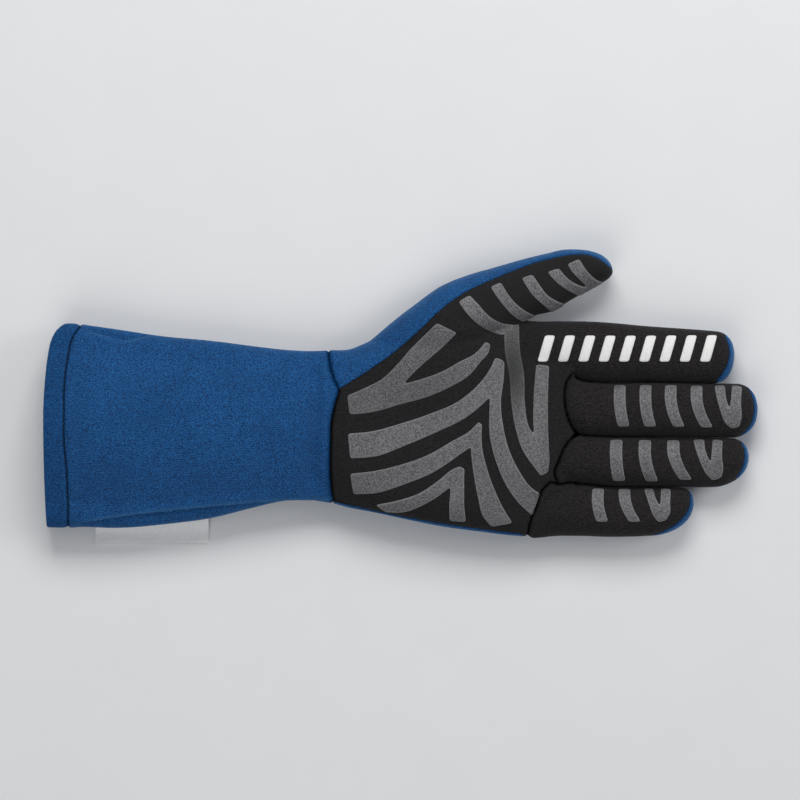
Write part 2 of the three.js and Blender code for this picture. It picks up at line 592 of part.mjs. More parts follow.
function addLabel() {
  const { fromX, toX, seamY, seamZ, edgeY, edgeZ, thickness } = LABEL;
  const profile = new THREE.Shape([
    new THREE.Vector2(seamY, seamZ),
    new THREE.Vector2(edgeY, edgeZ),
    new THREE.Vector2(edgeY, edgeZ - thickness),
    new THREE.Vector2(seamY, seamZ - thickness),
  ]);
  const geometry = new THREE.ExtrudeGeometry(profile, { depth: toX - fromX, bevelEnabled: false });
  // The profile is drawn in Y and Z, so its three axes are turned into place.
  geometry.applyMatrix4(new THREE.Matrix4().set(0, 0, 1, fromX, 1, 0, 0, 0, 0, 1, 0, 0, 0, 0, 0, 1));
  addPiece('side_label', toSolid(geometry).subtract(gloveSolid(GAP)), 'white');
}

addPalmSide();
addBack();
addCuff();
addLabel();
addGrips();
addIndexBars();

export default group;
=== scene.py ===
import bpy
import numpy as np
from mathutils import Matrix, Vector
from mathutils.kdtree import KDTree


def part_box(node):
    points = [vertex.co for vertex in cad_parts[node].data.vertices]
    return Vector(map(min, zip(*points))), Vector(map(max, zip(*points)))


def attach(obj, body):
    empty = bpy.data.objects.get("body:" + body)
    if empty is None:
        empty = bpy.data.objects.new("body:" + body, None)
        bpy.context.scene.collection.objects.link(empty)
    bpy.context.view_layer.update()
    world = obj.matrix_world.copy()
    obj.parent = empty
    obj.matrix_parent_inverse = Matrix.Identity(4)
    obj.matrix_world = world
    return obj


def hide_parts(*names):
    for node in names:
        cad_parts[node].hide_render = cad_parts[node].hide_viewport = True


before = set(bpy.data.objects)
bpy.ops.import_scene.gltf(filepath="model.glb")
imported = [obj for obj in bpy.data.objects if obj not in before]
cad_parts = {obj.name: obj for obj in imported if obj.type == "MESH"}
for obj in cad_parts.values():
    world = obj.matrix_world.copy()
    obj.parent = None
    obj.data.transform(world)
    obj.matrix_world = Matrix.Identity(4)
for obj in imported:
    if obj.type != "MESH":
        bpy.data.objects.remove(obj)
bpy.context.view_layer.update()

MM = 0.001

# Driving sizes
VOXEL = 0.82
SECTION_SIDES = 96  # corners round a section of the rough form
WALL = 1.7  # cloth of one panel
HEM_WALL = 2.5  # the doubled band round the mouth
CLEARANCE = 0.05  # between the lying cloth and the floor
SHARP_ANGLE = 55  # degrees from which an edge is shaded as a sharp one
PRINT_RISE = 0.42  # grip print above the cloth
BAR_RISE = 0.35  # light bars above the cloth
PRINT_BED = 0.25  # how deep the print goes into the cloth
PRINT_SHOULDER = 0.85  # width of the print's rounded edge
PRINT_EDGE = 0.22  # share of the rise at the very edge
CORNER_SOFTNESS = 0.85  # rounding of the print's corners
CROTCH = 1.1  # rounding where two bands of the print join
PRINT_GROWTH = 0.1  # makes up for what the rounding takes off
OUTLINE_STEP = 0.25  # between the points of the print's outlines
PRESSED = 1.6  # how far the lying side is flattened
HAND_SPLIT = 9.0  # height of the seam between the palm side and the back
CUFF_SPLIT = 12.0  # the same on the cuff
STITCHED = (-56, 28)  # from and to which y the hem's stitches show
GUSSET_FOOT = 4.5  # height of the lower edge of the cuff's side strip
ROUNDNESS = 2.3  # 2 is an ellipse, more is squarer
WAIST = 0.44  # height of the widest place, as a share of the thickness
THIRD = 0.6  # where the two outer tops of a section are, as a share of its half width
CROWN_END = 0.75  # beyond this share of the half width the top gets no higher or lower
SHOULDER = 0.4  # how much lower a finger's top is at its sides
FINGER_GAP = 0.3
FRONT_DROP = 2.6  # how much further down the finger fronts reach than the palm
TIP_CAP = 0.2  # closes the end past the last section
SPREAD = 2.2  # how far neighbouring fingers are held apart while the skin is made
SPREAD_FROM, SPREAD_TO = 74.0, 86.0
THUMB_CLEAR = 39.0  # where the fingers are spread, the thumb lies beyond this y

# Cuff, wrist and palm: x, thumb's side, little finger's side, three heights from the thumb's side
BODY = [
    [-167, 33.5, -58.5, 24, 28, 24],
    [-155.9, 32.6, -58.7, 25, 29, 25],
    [-146, 32.2, -59, 26, 30, 26],
    [-128, 30.2, -59.5, 26, 30, 26],
    [-108, 27.3, -58, 26, 29, 25],
    [-88, 25, -55.5, 25, 28, 24.5],
    [-67, 22.4, -51, 25, 27, 24],
    [-48, 20.8, -47.3, 24.5, 26, 23.5],
    [-37, 20.5, -47.4, 23, 24, 22],
    [-31, 20.8, -48.2, 22, 23, 21.5],
    [-24, 20.9, -50, 24, 24, 23.5],
    [-12, 25.6, -52.4, 26.5, 24, 25],
    [2, 31, -55.4, 28.5, 24, 26],
    [18, 35.5, -58.6, 29, 24.5, 26.8],
    [36, 36.5, -61.2, 27, 25.5, 26.5],
    [50, 34.2, -62.8, 25, 26, 25],
    [61, 33.5, -63.3, 23.5, 24.2, 21.5],
    [70, 33.3, -63, 21.5, 20, 17.5],
    [78, 32.6, -62.8, 19, 15.5, 14.5],
]

# Fingers from the thumb's side on: x, thumb's side, little finger's side, underside, top
FINGERS = {
    "index": [
        [46, 28, 11, 3, 18],
        [62, 33.2, 9.2, 0.3, 21.3],
        [75, 33.8, 9, 0, 20.2],
        [82, 33.8, 6.8, 0, 19.8],
        [92, 33.4, 6, 0, 19.5],
        [108, 32, 6.3, 0, 19],
        [130, 30.3, 5.8, 0, 17.3],
    ],
    "middle": [
        [58, 8.5, -16.5, 1, 16],
        [70, 9.2, -16.8, 0, 17.6],
        [76, 9, -16.9, 0, 18.7],
        [83, 6.8, -17.7, 0, 19.4],
        [92, 6, -18.1, 0, 19.5],
        [108, 6.3, -18.4, 0, 19.2],
        [138, 5.7, -18.9, 0, 17.4],
    ],
    "ring": [
        [54, -18, -39, 1, 16],
        [64, -17, -39.6, 0, 17.2],
        [72, -16.9, -39.4, 0, 18.2],
        [81, -17.5, -39.4, 0, 19],
        [92, -18.1, -40.7, 0, 19.2],
        [108, -18.4, -40.9, 0, 18.9],
        [128, -18.8, -41, 0, 17.6],
    ],
    "pinky": [
        [40, -41, -55, 3, 16],
        [54, -39.8, -62, 0.8, 17.4],
        [63, -39.6, -63.2, 0, 17.2],
        [71, -39.5, -63, 0, 18.1],
        [81, -39.4, -63.1, 0, 18.4],
        [95, -40.8, -63.5, 0, 18.3],
        [102, -40.9, -63.3, 0, 17.8],
    ],
}
FINGER_PLACES = {"index": 1.5, "middle": 0.5, "ring": -0.5, "pinky": -1.5}
CREASES = [("middle", "index"), ("ring", "middle"), ("pinky", "ring")]

# The thumb's slanted sections: outer edge x and y, inner edge x and y, underside, top
THUMB = [
    [-14, 24.6, 3, 3, 3, 20],
    [-5, 32.2, 13, 9, 1, 24.5],
    [5, 40.2, 23, 15, 0, 27],
    [17.5, 49.2, 38, 22, 0, 26.5],
    [31, 54.6, 50.5, 31, 0, 24],
    [42.5, 58, 60, 36.2, 0, 22.5],
    [54, 61.3, 68, 38.2, 0, 21.5],
    [65, 64.1, 78, 44, 0, 20.4],
]

# Rounded ends: where the thumb's side starts to round off, where the other side does, the tip, the slope
# of that other side, and the height of the top
TIPS = {
    "index": (141, 29.3, 141.5, 5.7, 150.2, 19, 0, 16.6),
    "middle": (150.5, 5.8, 148, -19, 161, -5.8, 0, 16.4),
    "ring": (148.5, -18.9, 137, -41.5, 156.7, -27.5, 0, 16.6),
    "pinky": (125.5, -41.1, 109.5, -63, 132, -48, 0, 17),
    "thumb": (77.5, 66.3, 91.6, 51.4, 95.5, 55.8, 0.58, 19),
}
TIP_POWER = 2.2  # above 2 the ends are blunter than an ellipse

# Seam lines in plan
MOUTH = [[-146, 34.6], [-149.5, 33.5], [-152.4, 31.9], [-155, 29.3], [-157, 25.3], [-158.5, 18.2],
         [-159.5, 8.8], [-160.1, 0.1], [-160.3, -8.5], [-160.3, -17.1], [-160.1, -34.3], [-159.6, -51],
         [-159.2, -60]]
WRIST = [[-32.5, 21], [-31.5, 13.5], [-30, 8], [-28, 3], [-29.5, -3.5], [-31, -11], [-31.5, -22],
         [-31.5, -38], [-30.5, -47.5]]
HEM = [[-144, 31.5], [-147.5, 26], [-149.5, 17], [-150.8, 6], [-151, -8], [-151, -20], [-150, -33],
       [-149.5, -46], [-149.5, -59]]
CUFF_FOLD = [[-151, -58.3], [-135, -55.5], [-108, -52], [-72, -48.5], [-45, -46.6], [-29, -47]]
THUMB_EDGE = [[-28, 3], [-16, 10.5], [-2.5, 20], [10.5, 31.5], [17, 38], [29.5, 47], [45, 54], [63, 60.8],
              [77.5, 63.8], [84, 63.7], [88.2, 62.2], [91.6, 60.1], [94.2, 58], [98, 55.5]]
THUMB_SEAM = [[17, 38], [23, 34], [30, 31.5], [40, 29.2], [45, 27], [49, 29], [54, 33]]
THUMB_ROOT = [[-28, 3], [-9, 10], [13, 22], [30, 26.5], [45, 27], [49, 29], [54, 33]]
THUMB_CLEFT = [[58, 34.4], [64, 36], [100, 42]]
LITTLE_EDGE = [[-31, -46.6], [-18, -50.3], [0, -54.2], [18, -57.4], [33.5, -59.8], [54, -62.1]]
MIDDLE_SEAM = [[77.5, 10], [75, 6.5], [74, 0.5], [74.5, -6.5], [77, -13.5], [79.5, -17]]
RING_SEAM = [[79.5, -17], [74.5, -22], [71, -30], [69.5, -35], [71.5, -40]]
PINKY_SEAM = [[71.5, -40], [68, -39], [64.5, -42], [61.5, -49.5], [58.5, -57], [57, -64]]
INDEX_MIDDLE = [[82.5, 6.8], [92, 6], [108, 6.3], [124, 6.2], [140, 5.6]]
MIDDLE_RING = [[83, -17.7], [92, -18.1], [108, -18.4], [124, -18.7], [140, -18.9]]
RING_PINKY = [[71.5, -40], [74, -39.3], [77, -39], [81, -39.4], [92, -40.7], [103, -40.9], [124, -40.9]]
TIP_INDEX = [[141.6, 5.7], [144.9, 10.4], [147.1, 14.6], [148, 19], [147.6, 23], [146.2, 27]]
TIP_MIDDLE = [[150.5, -19.5], [154.2, -16.9], [157.2, -13.6], [159, -9], [159.4, -5], [158.7, -0.6],
              [156.9, 3.2], [154, 6.2]]
TIP_RING = [[149.5, -40], [152.3, -35.5], [154, -31.8], [154.9, -28], [154.8, -24.5], [153.6, -21],
            [151.5, -18.3]]
TIP_PINKY = [[110, -64], [119.5, -60.3], [125.5, -56.4], [128.8, -52.4], [130.3, -48.4], [130.4, -45],
             [129.4, -41.5]]

# Grip print: each band is rows of left x, left y, right x, right y along it
BANDS = {
    "grip_palm_fork": [
        [[-23.5, 0, -22.5, -8], [-13, 2.3, -12, -7], [-1, 4.8, 0.5, -3.5], [9, 7.4, 11.5, -0.5],
         [18, 10.6, 22, 4], [27, 15.5, 31, 9.5], [33.5, 19, 36, 15.5], [36.5, 22, 39.5, 19.5],
         [38, 24.3, 40.5, 23.3]],
        [[-23.5, 0, -22.5, -8], [-16, 3.5, -13, -6.5], [-8.6, 7.3, -4.5, -1], [-1.4, 14, 3.9, 8.4],
         [5.1, 21.5, 10.5, 14.8], [11.7, 28, 17.6, 20.8], [16.4, 32.6, 25.2, 28.2]],
    ],
    "grip_palm_large": [
        [[-23.5, -17, -22.5, -28], [-13, -16, -11, -27], [0, -12.5, 2.5, -22], [13.5, -8, 16.5, -16],
         [26, -2.5, 29.5, -9.5], [33.5, 3.5, 39.5, -1], [39, 10, 45, 5], [42.8, 17, 46.4, 15.4]],
        [[42.8, 17, 46.4, 15.4], [40.7, 5, 46.2, 8], [40, -6.5, 45, -3.5], [40.2, -18, 46.1, -14],
         [43, -29.5, 48.9, -24.8], [47.4, -39.8, 54, -35], [52.8, -47.6, 58.4, -41],
         [59.4, -53.8, 62.9, -44.2]],
    ],
    "grip_palm_middle": [
        [[-22.5, -35, -21, -44], [-13, -34, -11, -43.5], [0, -31, 2, -39.5], [12.5, -26.5, 15, -34],
         [23, -20.5, 25.5, -27], [31.5, -15.5, 34, -20], [35.3, -11.5, 36.3, -13.5]],
        [[31.8, -18, 36.3, -12.5], [31.7, -23.5, 36.6, -23], [33, -35.5, 39.2, -34],
         [34.8, -45.2, 42.6, -43.2], [37.2, -54, 46.4, -51], [41, -58.6, 50.2, -57]],
    ],
    "grip_palm_low": [
        [[-11, -49, -6.5, -52], [-1, -47, 1.5, -52], [8, -44, 11, -48.5], [16.5, -38.5, 19.5, -43],
         [23.5, -33, 26.5, -37], [27, -31.5, 28.5, -33.5]],
        [[22.5, -34, 28.5, -32.5], [22.5, -42.5, 28.5, -42.5], [22, -49, 28.5, -48.5],
         [22.2, -56, 29.3, -56.5]],
    ],
    "grip_palm_vee": [
        [[46.7, 29.4, 53.2, 32.6], [47.2, 19.5, 53.8, 20], [49, 9.5, 55.5, 9.5], [50, -4, 56, -4],
         [52, -15.5, 58.5, -15.5], [55, -24.5, 63, -20], [59, -30.5, 66.5, -26.5], [63, -35.6, 66, -34]],
        [[61, 14, 66.7, 13.5], [60, 0.5, 66.2, 0.5], [60, -14.5, 66.3, -14.5], [61, -24.5, 66.5, -26.5],
         [63, -35.6, 66, -34]],
    ],
    "grip_thumb_1": [
        [[26.2, 42.3, 31, 45.2], [29.3, 37.9, 34.9, 41], [34, 33, 39.6, 35.9], [39.5, 29.4, 45, 32.7],
         [46.2, 27.7, 53.8, 31.7]],
    ],
    "grip_thumb_2": [
        [[40.6, 49, 45, 50.9], [43, 45.2, 48.4, 45.3], [46.8, 40.2, 52.4, 40.8], [50.8, 36, 57, 37.6],
         [55, 33.4, 61.5, 35.8]],
    ],
    "grip_thumb_3": [
        [[54.6, 52.9, 59.3, 54.4], [56.5, 49.6, 62.2, 50], [60, 44.8, 66, 45.2], [64.5, 40.9, 71, 42.3],
         [68.5, 37.5, 77, 40.5]],
    ],
    "grip_thumb_tip": [
        [[66.2, 55.7, 71.2, 57.3], [68, 53.4, 72.9, 55], [71.4, 50.2, 76, 52], [76, 47.2, 80, 49.7],
         [82.5, 45, 84, 48.8], [88, 46.5, 91, 51]],
        [[75.1, 59.2, 80.3, 61.5], [76.8, 56.5, 82, 58.6], [79.6, 53.3, 84.8, 54.9], [83.2, 49.8, 88.5, 51.9],
         [85.5, 46.5, 92, 50.8]],
    ],
    "grip_middle_tip": [
        [[141.3, 4.3, 145.9, 4.5], [142.2, -0.5, 146.2, -0.5], [143.8, -6.3, 147.8, -5.5],
         [146.4, -12.3, 151, -10], [148.7, -14.2, 152.2, -13.4]],
        [[149.2, 4.5, 153.6, 3.9], [148.8, -0.5, 153.1, -0.5], [148.2, -5, 153, -4.5],
         [147.6, -8, 153.3, -9.5], [148.7, -14.2, 152.2, -13.4]],
    ],
    "grip_ring_tip": [
        [[131.8, -19.6, 136.6, -19.6], [133, -24.5, 136.9, -24], [135.2, -30.5, 139, -29.3],
         [137.4, -34.8, 142, -33], [140.2, -37.5, 144.2, -36.2]],
        [[140.6, -19.6, 144.9, -20.2], [140.1, -24.5, 144.5, -24.5], [139.6, -29.5, 144.6, -29],
         [139.3, -32, 145, -33], [140.2, -37.5, 144.2, -36.2]],
    ],
    "grip_pinky_tip": [
        [[109.6, -41.9, 113.6, -41.9], [110.6, -45, 114.2, -44.8], [112, -49.3, 116, -48.8],
         [113.6, -53.5, 118.5, -52], [115.8, -56.2, 119.4, -55.4]],
        [[117.3, -41.9, 121.5, -42.2], [117.1, -45.5, 121.3, -45.5], [116.8, -49.2, 121.1, -49.2],
         [116.6, -51, 121.2, -52], [115.8, -56.2, 119.4, -55.4]],
    ],
}

# Bars across the fingers: x and y of the upper end, width, length, lean, bow
BAR_WIDTH = 5.1
BARS = {
    "grip_middle_1": (98.7, 4.6, BAR_WIDTH, 18, 1.6, 1.8),
    "grip_middle_2": (110.3, 4.6, BAR_WIDTH, 18.2, 2, 2.2),
    "grip_middle_3": (121.6, 4.5, BAR_WIDTH, 18.2, 3.6, 2.6),
    "grip_middle_4": (133.2, 4.2, BAR_WIDTH, 18.1, 4.6, 2.6),
    "grip_ring_1": (97.1, -20.1, BAR_WIDTH + 0.3, 17.8, 1.2, 1.8),
    "grip_ring_2": (110, -20.1, BAR_WIDTH + 0.3, 17.9, 3.1, 2.6),
    "grip_ring_3": (122.7, -20, BAR_WIDTH + 0.3, 17.4, 5.6, 2.4),
    "grip_pinky_1": (88.9, -42, BAR_WIDTH, 14.3, 1.8, 2.2),
    "grip_pinky_2": (100.7, -42, BAR_WIDTH, 14.3, 4.6, 1.4),
}
INDEX_BARS = {"count": 9, "first": 65.5, "last": 138.5, "y": 21.3, "length": 11.6, "width": 4.4, "slant": 3.4}

# Seams of the cloth: how deep each draws it in, and how far that reaches on each side
SEAMS = {
    "set_in": (1.9, 1.8),
    "flat": (0.45, 1.2),
    "split": (0.35, 1.2),
    "hand": (0.95, 1.7),
    "hem": (0.8, 1.2),
    "mouth": (0.9, 1.3),
    "fold": (0.3, 0.9),
    "side": (0.35, 1.0),
}
# Soft dents in the cloth: depth, width and the line that each follows. The last stands out as a roll.
DENTS = [
    (1.9, 2.6, [[-38.5, 14], [-38, 0], [-38.5, -16], [-39.5, -30], [-40, -42]]),
    (1.3, 1.3, [[-142, 30.5], [-135, 28.8], [-128, 26.8], [-124, 26], [-119, 27], [-113, 28.8]]),
    (0.5, 5.0, [[-108, 8], [-100, -12], [-98, -34]]),
    (0.9, 2.4, [[24, 36], [31, 33], [38, 29.5], [43.5, 27]]),
    (1.1, 2.2, [[44, 27.5], [43, 24.5], [41.8, 21], [41.5, 17]]),
    (1.3, 4.6, [[50.4, 31], [51, 18], [52.4, 6], [54, -4], [57, -15]]),
    (0.6, 2.6, [[69.5, 12], [69.2, 0], [69, -12], [70, -20]]),
    (-0.8, 1.8, [[-34.4, 14], [-33.6, 0], [-34.6, -16], [-35, -38]]),
]

# Painted shade on the grip print, mostly in the valley by the thumb's base and where the palm is less lit: x,
# y, reach along x and y, amount
PAINTED_PRINT_SHADE = {
    "grip_palm_vee": [(50.5, 13, 8, 21, 0.88)],
    "grip_palm_fork": [(2, 8, 50, 30, 0.26)],
    "grip_palm_middle": [(-10, -38, 14, 14, 0.15)],
    "grip_thumb_1": [(43, 31, 10, 8, 0.3)],
}

# Maths on lines in plan

def hermite(rows, i, t, gaps, tangents):
    """Points at shares t of the way from row i to the next."""
    h = gaps[i]
    return ((2 * t ** 3 - 3 * t ** 2 + 1) * rows[i] + (t ** 3 - 2 * t ** 2 + t) * h * tangents[i]
            + (3 * t ** 2 - 2 * t ** 3) * rows[i + 1] + (t ** 3 - t ** 2) * h * tangents[i + 1])


def curve(rows, step=0.5):
    """Points on a smooth curve through the rows, and where each row is among them."""
    rows = np.asarray(rows, float)
    gaps = np.linalg.norm(np.diff(rows, axis=0), axis=1)
    slopes = np.diff(rows, axis=0) / gaps[:, None]
    tangents = np.empty_like(rows)
    tangents[0], tangents[-1] = slopes[0], slopes[-1]
    before, after = gaps[:-1, None], gaps[1:, None]
    tangents[1:-1] = (after * slopes[:-1] + before * slopes[1:]) / (before + after)
    parts, marks = [], [0]
    for i, gap in enumerate(gaps):
        count = max(1, int(np.ceil(gap / step)))
        t = (np.arange(count) / count)[:, None]
        parts.append(hermite(rows, i, t, gaps, tangents))
        marks.append(marks[-1] + count)
    return np.concatenate([*parts, rows[-1:]]), marks


def stretch(line, first=0, last=None):
    """The part of a smooth line between two of its rows."""
    points, marks = curve(line)
    return points[marks[first]:marks[len(line) - 1 if last is None else last] + 1]


def smooth_step(value, low, high):
    t = np.clip((value - low) / (high - low), 0, 1)
    return t * t * (3 - 2 * t)


def dense(points, step=0.7):
    """A closed outline with points about every step on its straight sides too."""
    points = np.asarray(points, float)
    after = np.roll(points, -1, axis=0)
    out = []
    for a, b in zip(points, after):
        length = np.linalg.norm(b - a)
        if length > 1e-6:
            count = max(1, int(np.ceil(length / step)))
            out.append(a + (b - a) * (np.arange(count) / count)[:, None])
    return np.concatenate(out)


class Line:
    """A line in plan, open or closed, which gives the distance of any place from it."""

    def __init__(self, points, closed):
        self.points = dense(points) if closed else np.asarray(points, float)
        self.closed = closed
        self.tree = KDTree(len(self.points))
        for i, (x, y) in enumerate(self.points):
            self.tree.insert((x, y, 0), i)
        self.tree.balance()
        x, y = self.points.T
        area = (x * np.roll(y, -1) - y * np.roll(x, -1)).sum()
        self.turn = 1.0 if area > 0 else -1.0

    def beside(self, index, step):
        last = len(self.points) - 1
        return (index + step) % (last + 1) if self.closed else np.clip(index + step, 0, last)

    def measure(self, places):
        """Distance to the line. A closed line gives a negative one inside."""
        find = self.tree.find
        near = np.array([find((x, y, 0))[1] for x, y in places.tolist()], int)
        here = self.points[near]
        best = np.full(len(places), np.inf)
        side = np.ones(len(places))
        normals = []
        for step in (-1, 1):
            a = self.points[self.beside(near, -1)] if step < 0 else here
            b = here if step < 0 else self.points[self.beside(near, 1)]
            along = b - a
            length = np.maximum(np.linalg.norm(along, axis=1), 1e-9)
            along = along / length[:, None]
            normal = np.stack([along[:, 1], -along[:, 0]], axis=1) * self.turn
            normals.append(normal)
            t = np.clip(((places - a) * along).sum(axis=1), 0, length)
            gap = places - (a + along * t[:, None])
            far = np.linalg.norm(gap, axis=1)
            at_corner = (t >= length - 1e-7) if step < 0 else (t <= 1e-7)
            closer = far < best - 1e-9
            best = np.where(closer, far, best)
            across = np.where(at_corner, 0.0, (gap * normal).sum(axis=1))
            side = np.where(closer, across, side)
        if not self.closed:
            return best
        corner = ((places - here) * (normals[0] + normals[1])).sum(axis=1)
        side = np.where(side == 0.0, corner, side)
        return np.where(side < 0, -best, best)

    def field(self, places, reach=9.0):
        """The same, worked out only near the line's own box."""
        low = self.points.min(axis=0) - reach
        high = self.points.max(axis=0) + reach
        near = ((places >= low) & (places <= high)).all(axis=1)
        out = np.full(len(places), reach)
        if near.any():
            out[near] = self.measure(places[near])
        return out


# Seams as smooth lines, and the regions that they bound

def closed(*parts):
    return Line(np.concatenate([np.asarray(part, float).reshape(-1, 2) for part in parts]), True)


def flip(points):
    return points[::-1]


REGIONS = {
    "palm_panel": closed(stretch(WRIST, 3), stretch(LITTLE_EDGE, 1), flip(stretch(PINKY_SEAM)),
                         flip(stretch(RING_SEAM)), flip(stretch(MIDDLE_SEAM)), stretch(INDEX_MIDDLE),
                         stretch(TIP_INDEX), [[146, 31], [146, 37], [66, 37]], THUMB_CLEFT[0],
                         flip(stretch(THUMB_SEAM)), flip(stretch(THUMB_EDGE, 1, 4))),
    "middle_front": closed(stretch(MIDDLE_SEAM), stretch(MIDDLE_RING), stretch(TIP_MIDDLE),
                           flip(stretch(INDEX_MIDDLE))),
    "ring_front": closed(stretch(RING_SEAM), stretch(RING_PINKY), [[134, -44], [148, -43]],
                         stretch(TIP_RING), flip(stretch(MIDDLE_RING))),
    "pinky_front": closed(stretch(PINKY_SEAM), [[57, -68], [110, -68]], stretch(TIP_PINKY),
                          flip(stretch(RING_PINKY))),
    "thumb_front": closed(stretch(THUMB_SEAM), THUMB_CLEFT, [[100, 53]], flip(stretch(THUMB_EDGE, 4))),
}
SIDES = {
    "thumb_side": closed(stretch(THUMB_ROOT), THUMB_CLEFT, [[100, 80], [-33, 80]], stretch(WRIST, 0, 3)),
    "hand": closed(stretch(WRIST), [[-30, -80], [180, -80], [180, 90], [-33, 90]]),
    "hem": closed(stretch(HEM), [[-149.5, -80], [-190, -80], [-190, 60], [-143, 60]]),
    "fold": closed(stretch(CUFF_FOLD), [[-29, -80], [-151, -80]]),
    "mouth": closed(stretch(MOUTH), [[-159.2, -80], [-190, -80], [-190, 60], [-146, 60]]),
}
SET_IN_SEAMS = [stretch(line) for line in (MIDDLE_SEAM, RING_SEAM, PINKY_SEAM)]
FLAT_SEAMS = [stretch(line) for line in (THUMB_EDGE, LITTLE_EDGE, TIP_INDEX, TIP_MIDDLE, TIP_RING, TIP_PINKY)]


# The glove's outer form

def signed_power(value, power):
    return np.sign(value) * np.abs(value) ** power


def section_rings(rows):
    """Rings of points round sections. Columns: thumb's side x, y, little side x, y, underside, three tops."""
    thumb, little = rows[:, 0:2], rows[:, 2:4]
    low, tops = rows[:, 4:5], rows[:, 5:8]
    middle = (thumb + little) / 2
    across = (thumb - little) / 2
    angle = 2 * np.pi * np.arange(SECTION_SIDES) / SECTION_SIDES
    u = signed_power(np.cos(angle), 2 / ROUNDNESS)[None, :]
    v = signed_power(np.sin(angle), 2 / ROUNDNESS)[None, :]
    place = np.clip(u, -CROWN_END, CROWN_END) / THIRD
    tilt = (tops[:, 0:1] - tops[:, 2:3]) / 2
    hollow = (tops[:, 0:1] + tops[:, 2:3]) / 2 - tops[:, 1:2]
    crown = tops[:, 1:2] + tilt * place + hollow * place ** 2
    waist = low + WAIST * (tops[:, 1:2] - low)
    upper = waist + v * (crown - waist)
    under = np.maximum(waist + v * (waist - low + PRESSED), low)
    z = np.where(v > 0, upper, under)
    plan = middle[:, None, :] + across[:, None, :] * u[:, :, None]
    return np.concatenate([plan, z[:, :, None]], axis=2)


def capped(rings, rows):
    """Closes a finger's end with a low dome."""
    across = rows[-1, 0:2] - rows[-1, 2:4]
    along = np.array([across[1], -across[0], 0]) / np.linalg.norm(across)
    centre = rings[-1].mean(axis=0)
    extra = []
    for angle in np.radians([25, 50, 70, 83]):
        extra.append(centre + (rings[-1] - centre) * np.cos(angle) + along * TIP_CAP * np.sin(angle))
    return np.concatenate([rings, np.array(extra)])


def spread_at(x):
    return SPREAD * smooth_step(x, SPREAD_FROM, SPREAD_TO)


def tube(rows, cap=True, place=0.0):
    """A closed mesh round smooth sections."""
    rows, _ = curve(rows, 1.2)
    rings = section_rings(rows)
    if cap:
        rings = capped(rings, rows)
    rings[:, :, 1] += place * spread_at(rings[:, :, 0])
    count, sides = rings.shape[:2]
    r, s = np.meshgrid(np.arange(count - 1), np.arange(sides), indexing="ij")
    a = (r * sides + s).ravel()
    b = (r * sides + (s + 1) % sides).ravel()
    quads = np.stack([a, b, b + sides, a + sides], axis=1)
    ends = [list(range(sides))[::-1], list(range((count - 1) * sides, count * sides))]
    return rings.reshape(-1, 3), quads.tolist() + ends


def body_rows():
    rows = np.array(BODY, float)
    x, zero = rows[:, 0], np.zeros(len(rows))
    return np.stack([x, rows[:, 1], x, rows[:, 2], zero, rows[:, 3], rows[:, 4], rows[:, 5]], axis=1)


def round_end(thumb_x, thumb_y, little_x, little_y, tip_x, tip_y, slope, top):
    """Sections from where a finger's sides start to round off to its tip: plan of both sides, low, top."""
    tip = np.array([tip_x, tip_y])
    sides = []
    for x, y, side_slope in ((thumb_x, thumb_y, 0), (little_x, little_y, slope)):
        corner = np.array([x, tip_y - side_slope * (tip_x - x)])
        sides.append((corner, np.array([x, y]) - corner))
    middle = WAIST * top
    rows = []
    for angle in np.radians([0, 14, 28, 42, 56, 69, 80]):
        across, ahead = np.cos(angle) ** (2 / TIP_POWER), np.sin(angle) ** (2 / TIP_POWER)
        places = [corner + (tip - corner) * ahead + start * across for corner, start in sides]
        rows.append([*places[0], *places[1], middle - middle * across, middle + (top - middle) * across])
    return np.array(rows)


def finger_rows(name):
    if name == "thumb":
        rows = np.array(THUMB, float)
    else:
        x, thumb, little, low, top = np.array(FINGERS[name], float).T
        rows = np.stack([x, thumb, x, little, low, top], axis=1)
    rows = np.concatenate([rows, round_end(*TIPS[name])])
    if name != "thumb":
        room = np.minimum(FINGER_GAP / 2, (rows[:, 1] - rows[:, 3]) / 4)
        rows[:, 1] -= room
        rows[:, 3] += room
    top = rows[:, 5]
    return np.concatenate([rows[:, :5], np.stack([top - SHOULDER, top, top - SHOULDER], axis=1)], axis=1)


def make_mesh(name, points, polygons):
    mesh = bpy.data.meshes.new(name)
    mesh.from_pydata((points * MM).tolist(), [], polygons)
    mesh.update()
    return mesh


def link(data):
    """An object of its own for a mesh, lamp or camera, in the scene."""
    made = bpy.data.objects.new(data.name, data)
    bpy.context.scene.collection.objects.link(made)
    return made


def triangles_of(mesh):
    """Corners and triangles of a mesh of quads, each quad cut along its shorter diagonal."""
    points = np.empty(len(mesh.vertices) * 3, np.float32)
    mesh.vertices.foreach_get("co", points)
    points = points.reshape(-1, 3).astype(float) / MM
    sizes = np.empty(len(mesh.polygons), np.int32)
    mesh.polygons.foreach_get("loop_total", sizes)
    corners = np.empty(len(mesh.loops), np.int32)
    mesh.loops.foreach_get("vertex_index", corners)
    starts = np.concatenate([[0], np.cumsum(sizes)[:-1]])
    faces = [np.stack([corners[starts[sizes == 3] + i] for i in range(3)], axis=1)]
    quads = np.stack([corners[starts[sizes == 4] + i] for i in range(4)], axis=1)
    first = np.linalg.norm(points[quads[:, 0]] - points[quads[:, 2]], axis=1)
    second = np.linalg.norm(points[quads[:, 1]] - points[quads[:, 3]], axis=1)
    for chosen, order in ((first <= second, (0, 1, 2, 0, 2, 3)), (first > second, (0, 1, 3, 1, 2, 3))):
        picked = quads[chosen]
        faces += [picked[:, order[:3]], picked[:, order[3:]]]
    return points, np.concatenate(faces).astype(np.int64)


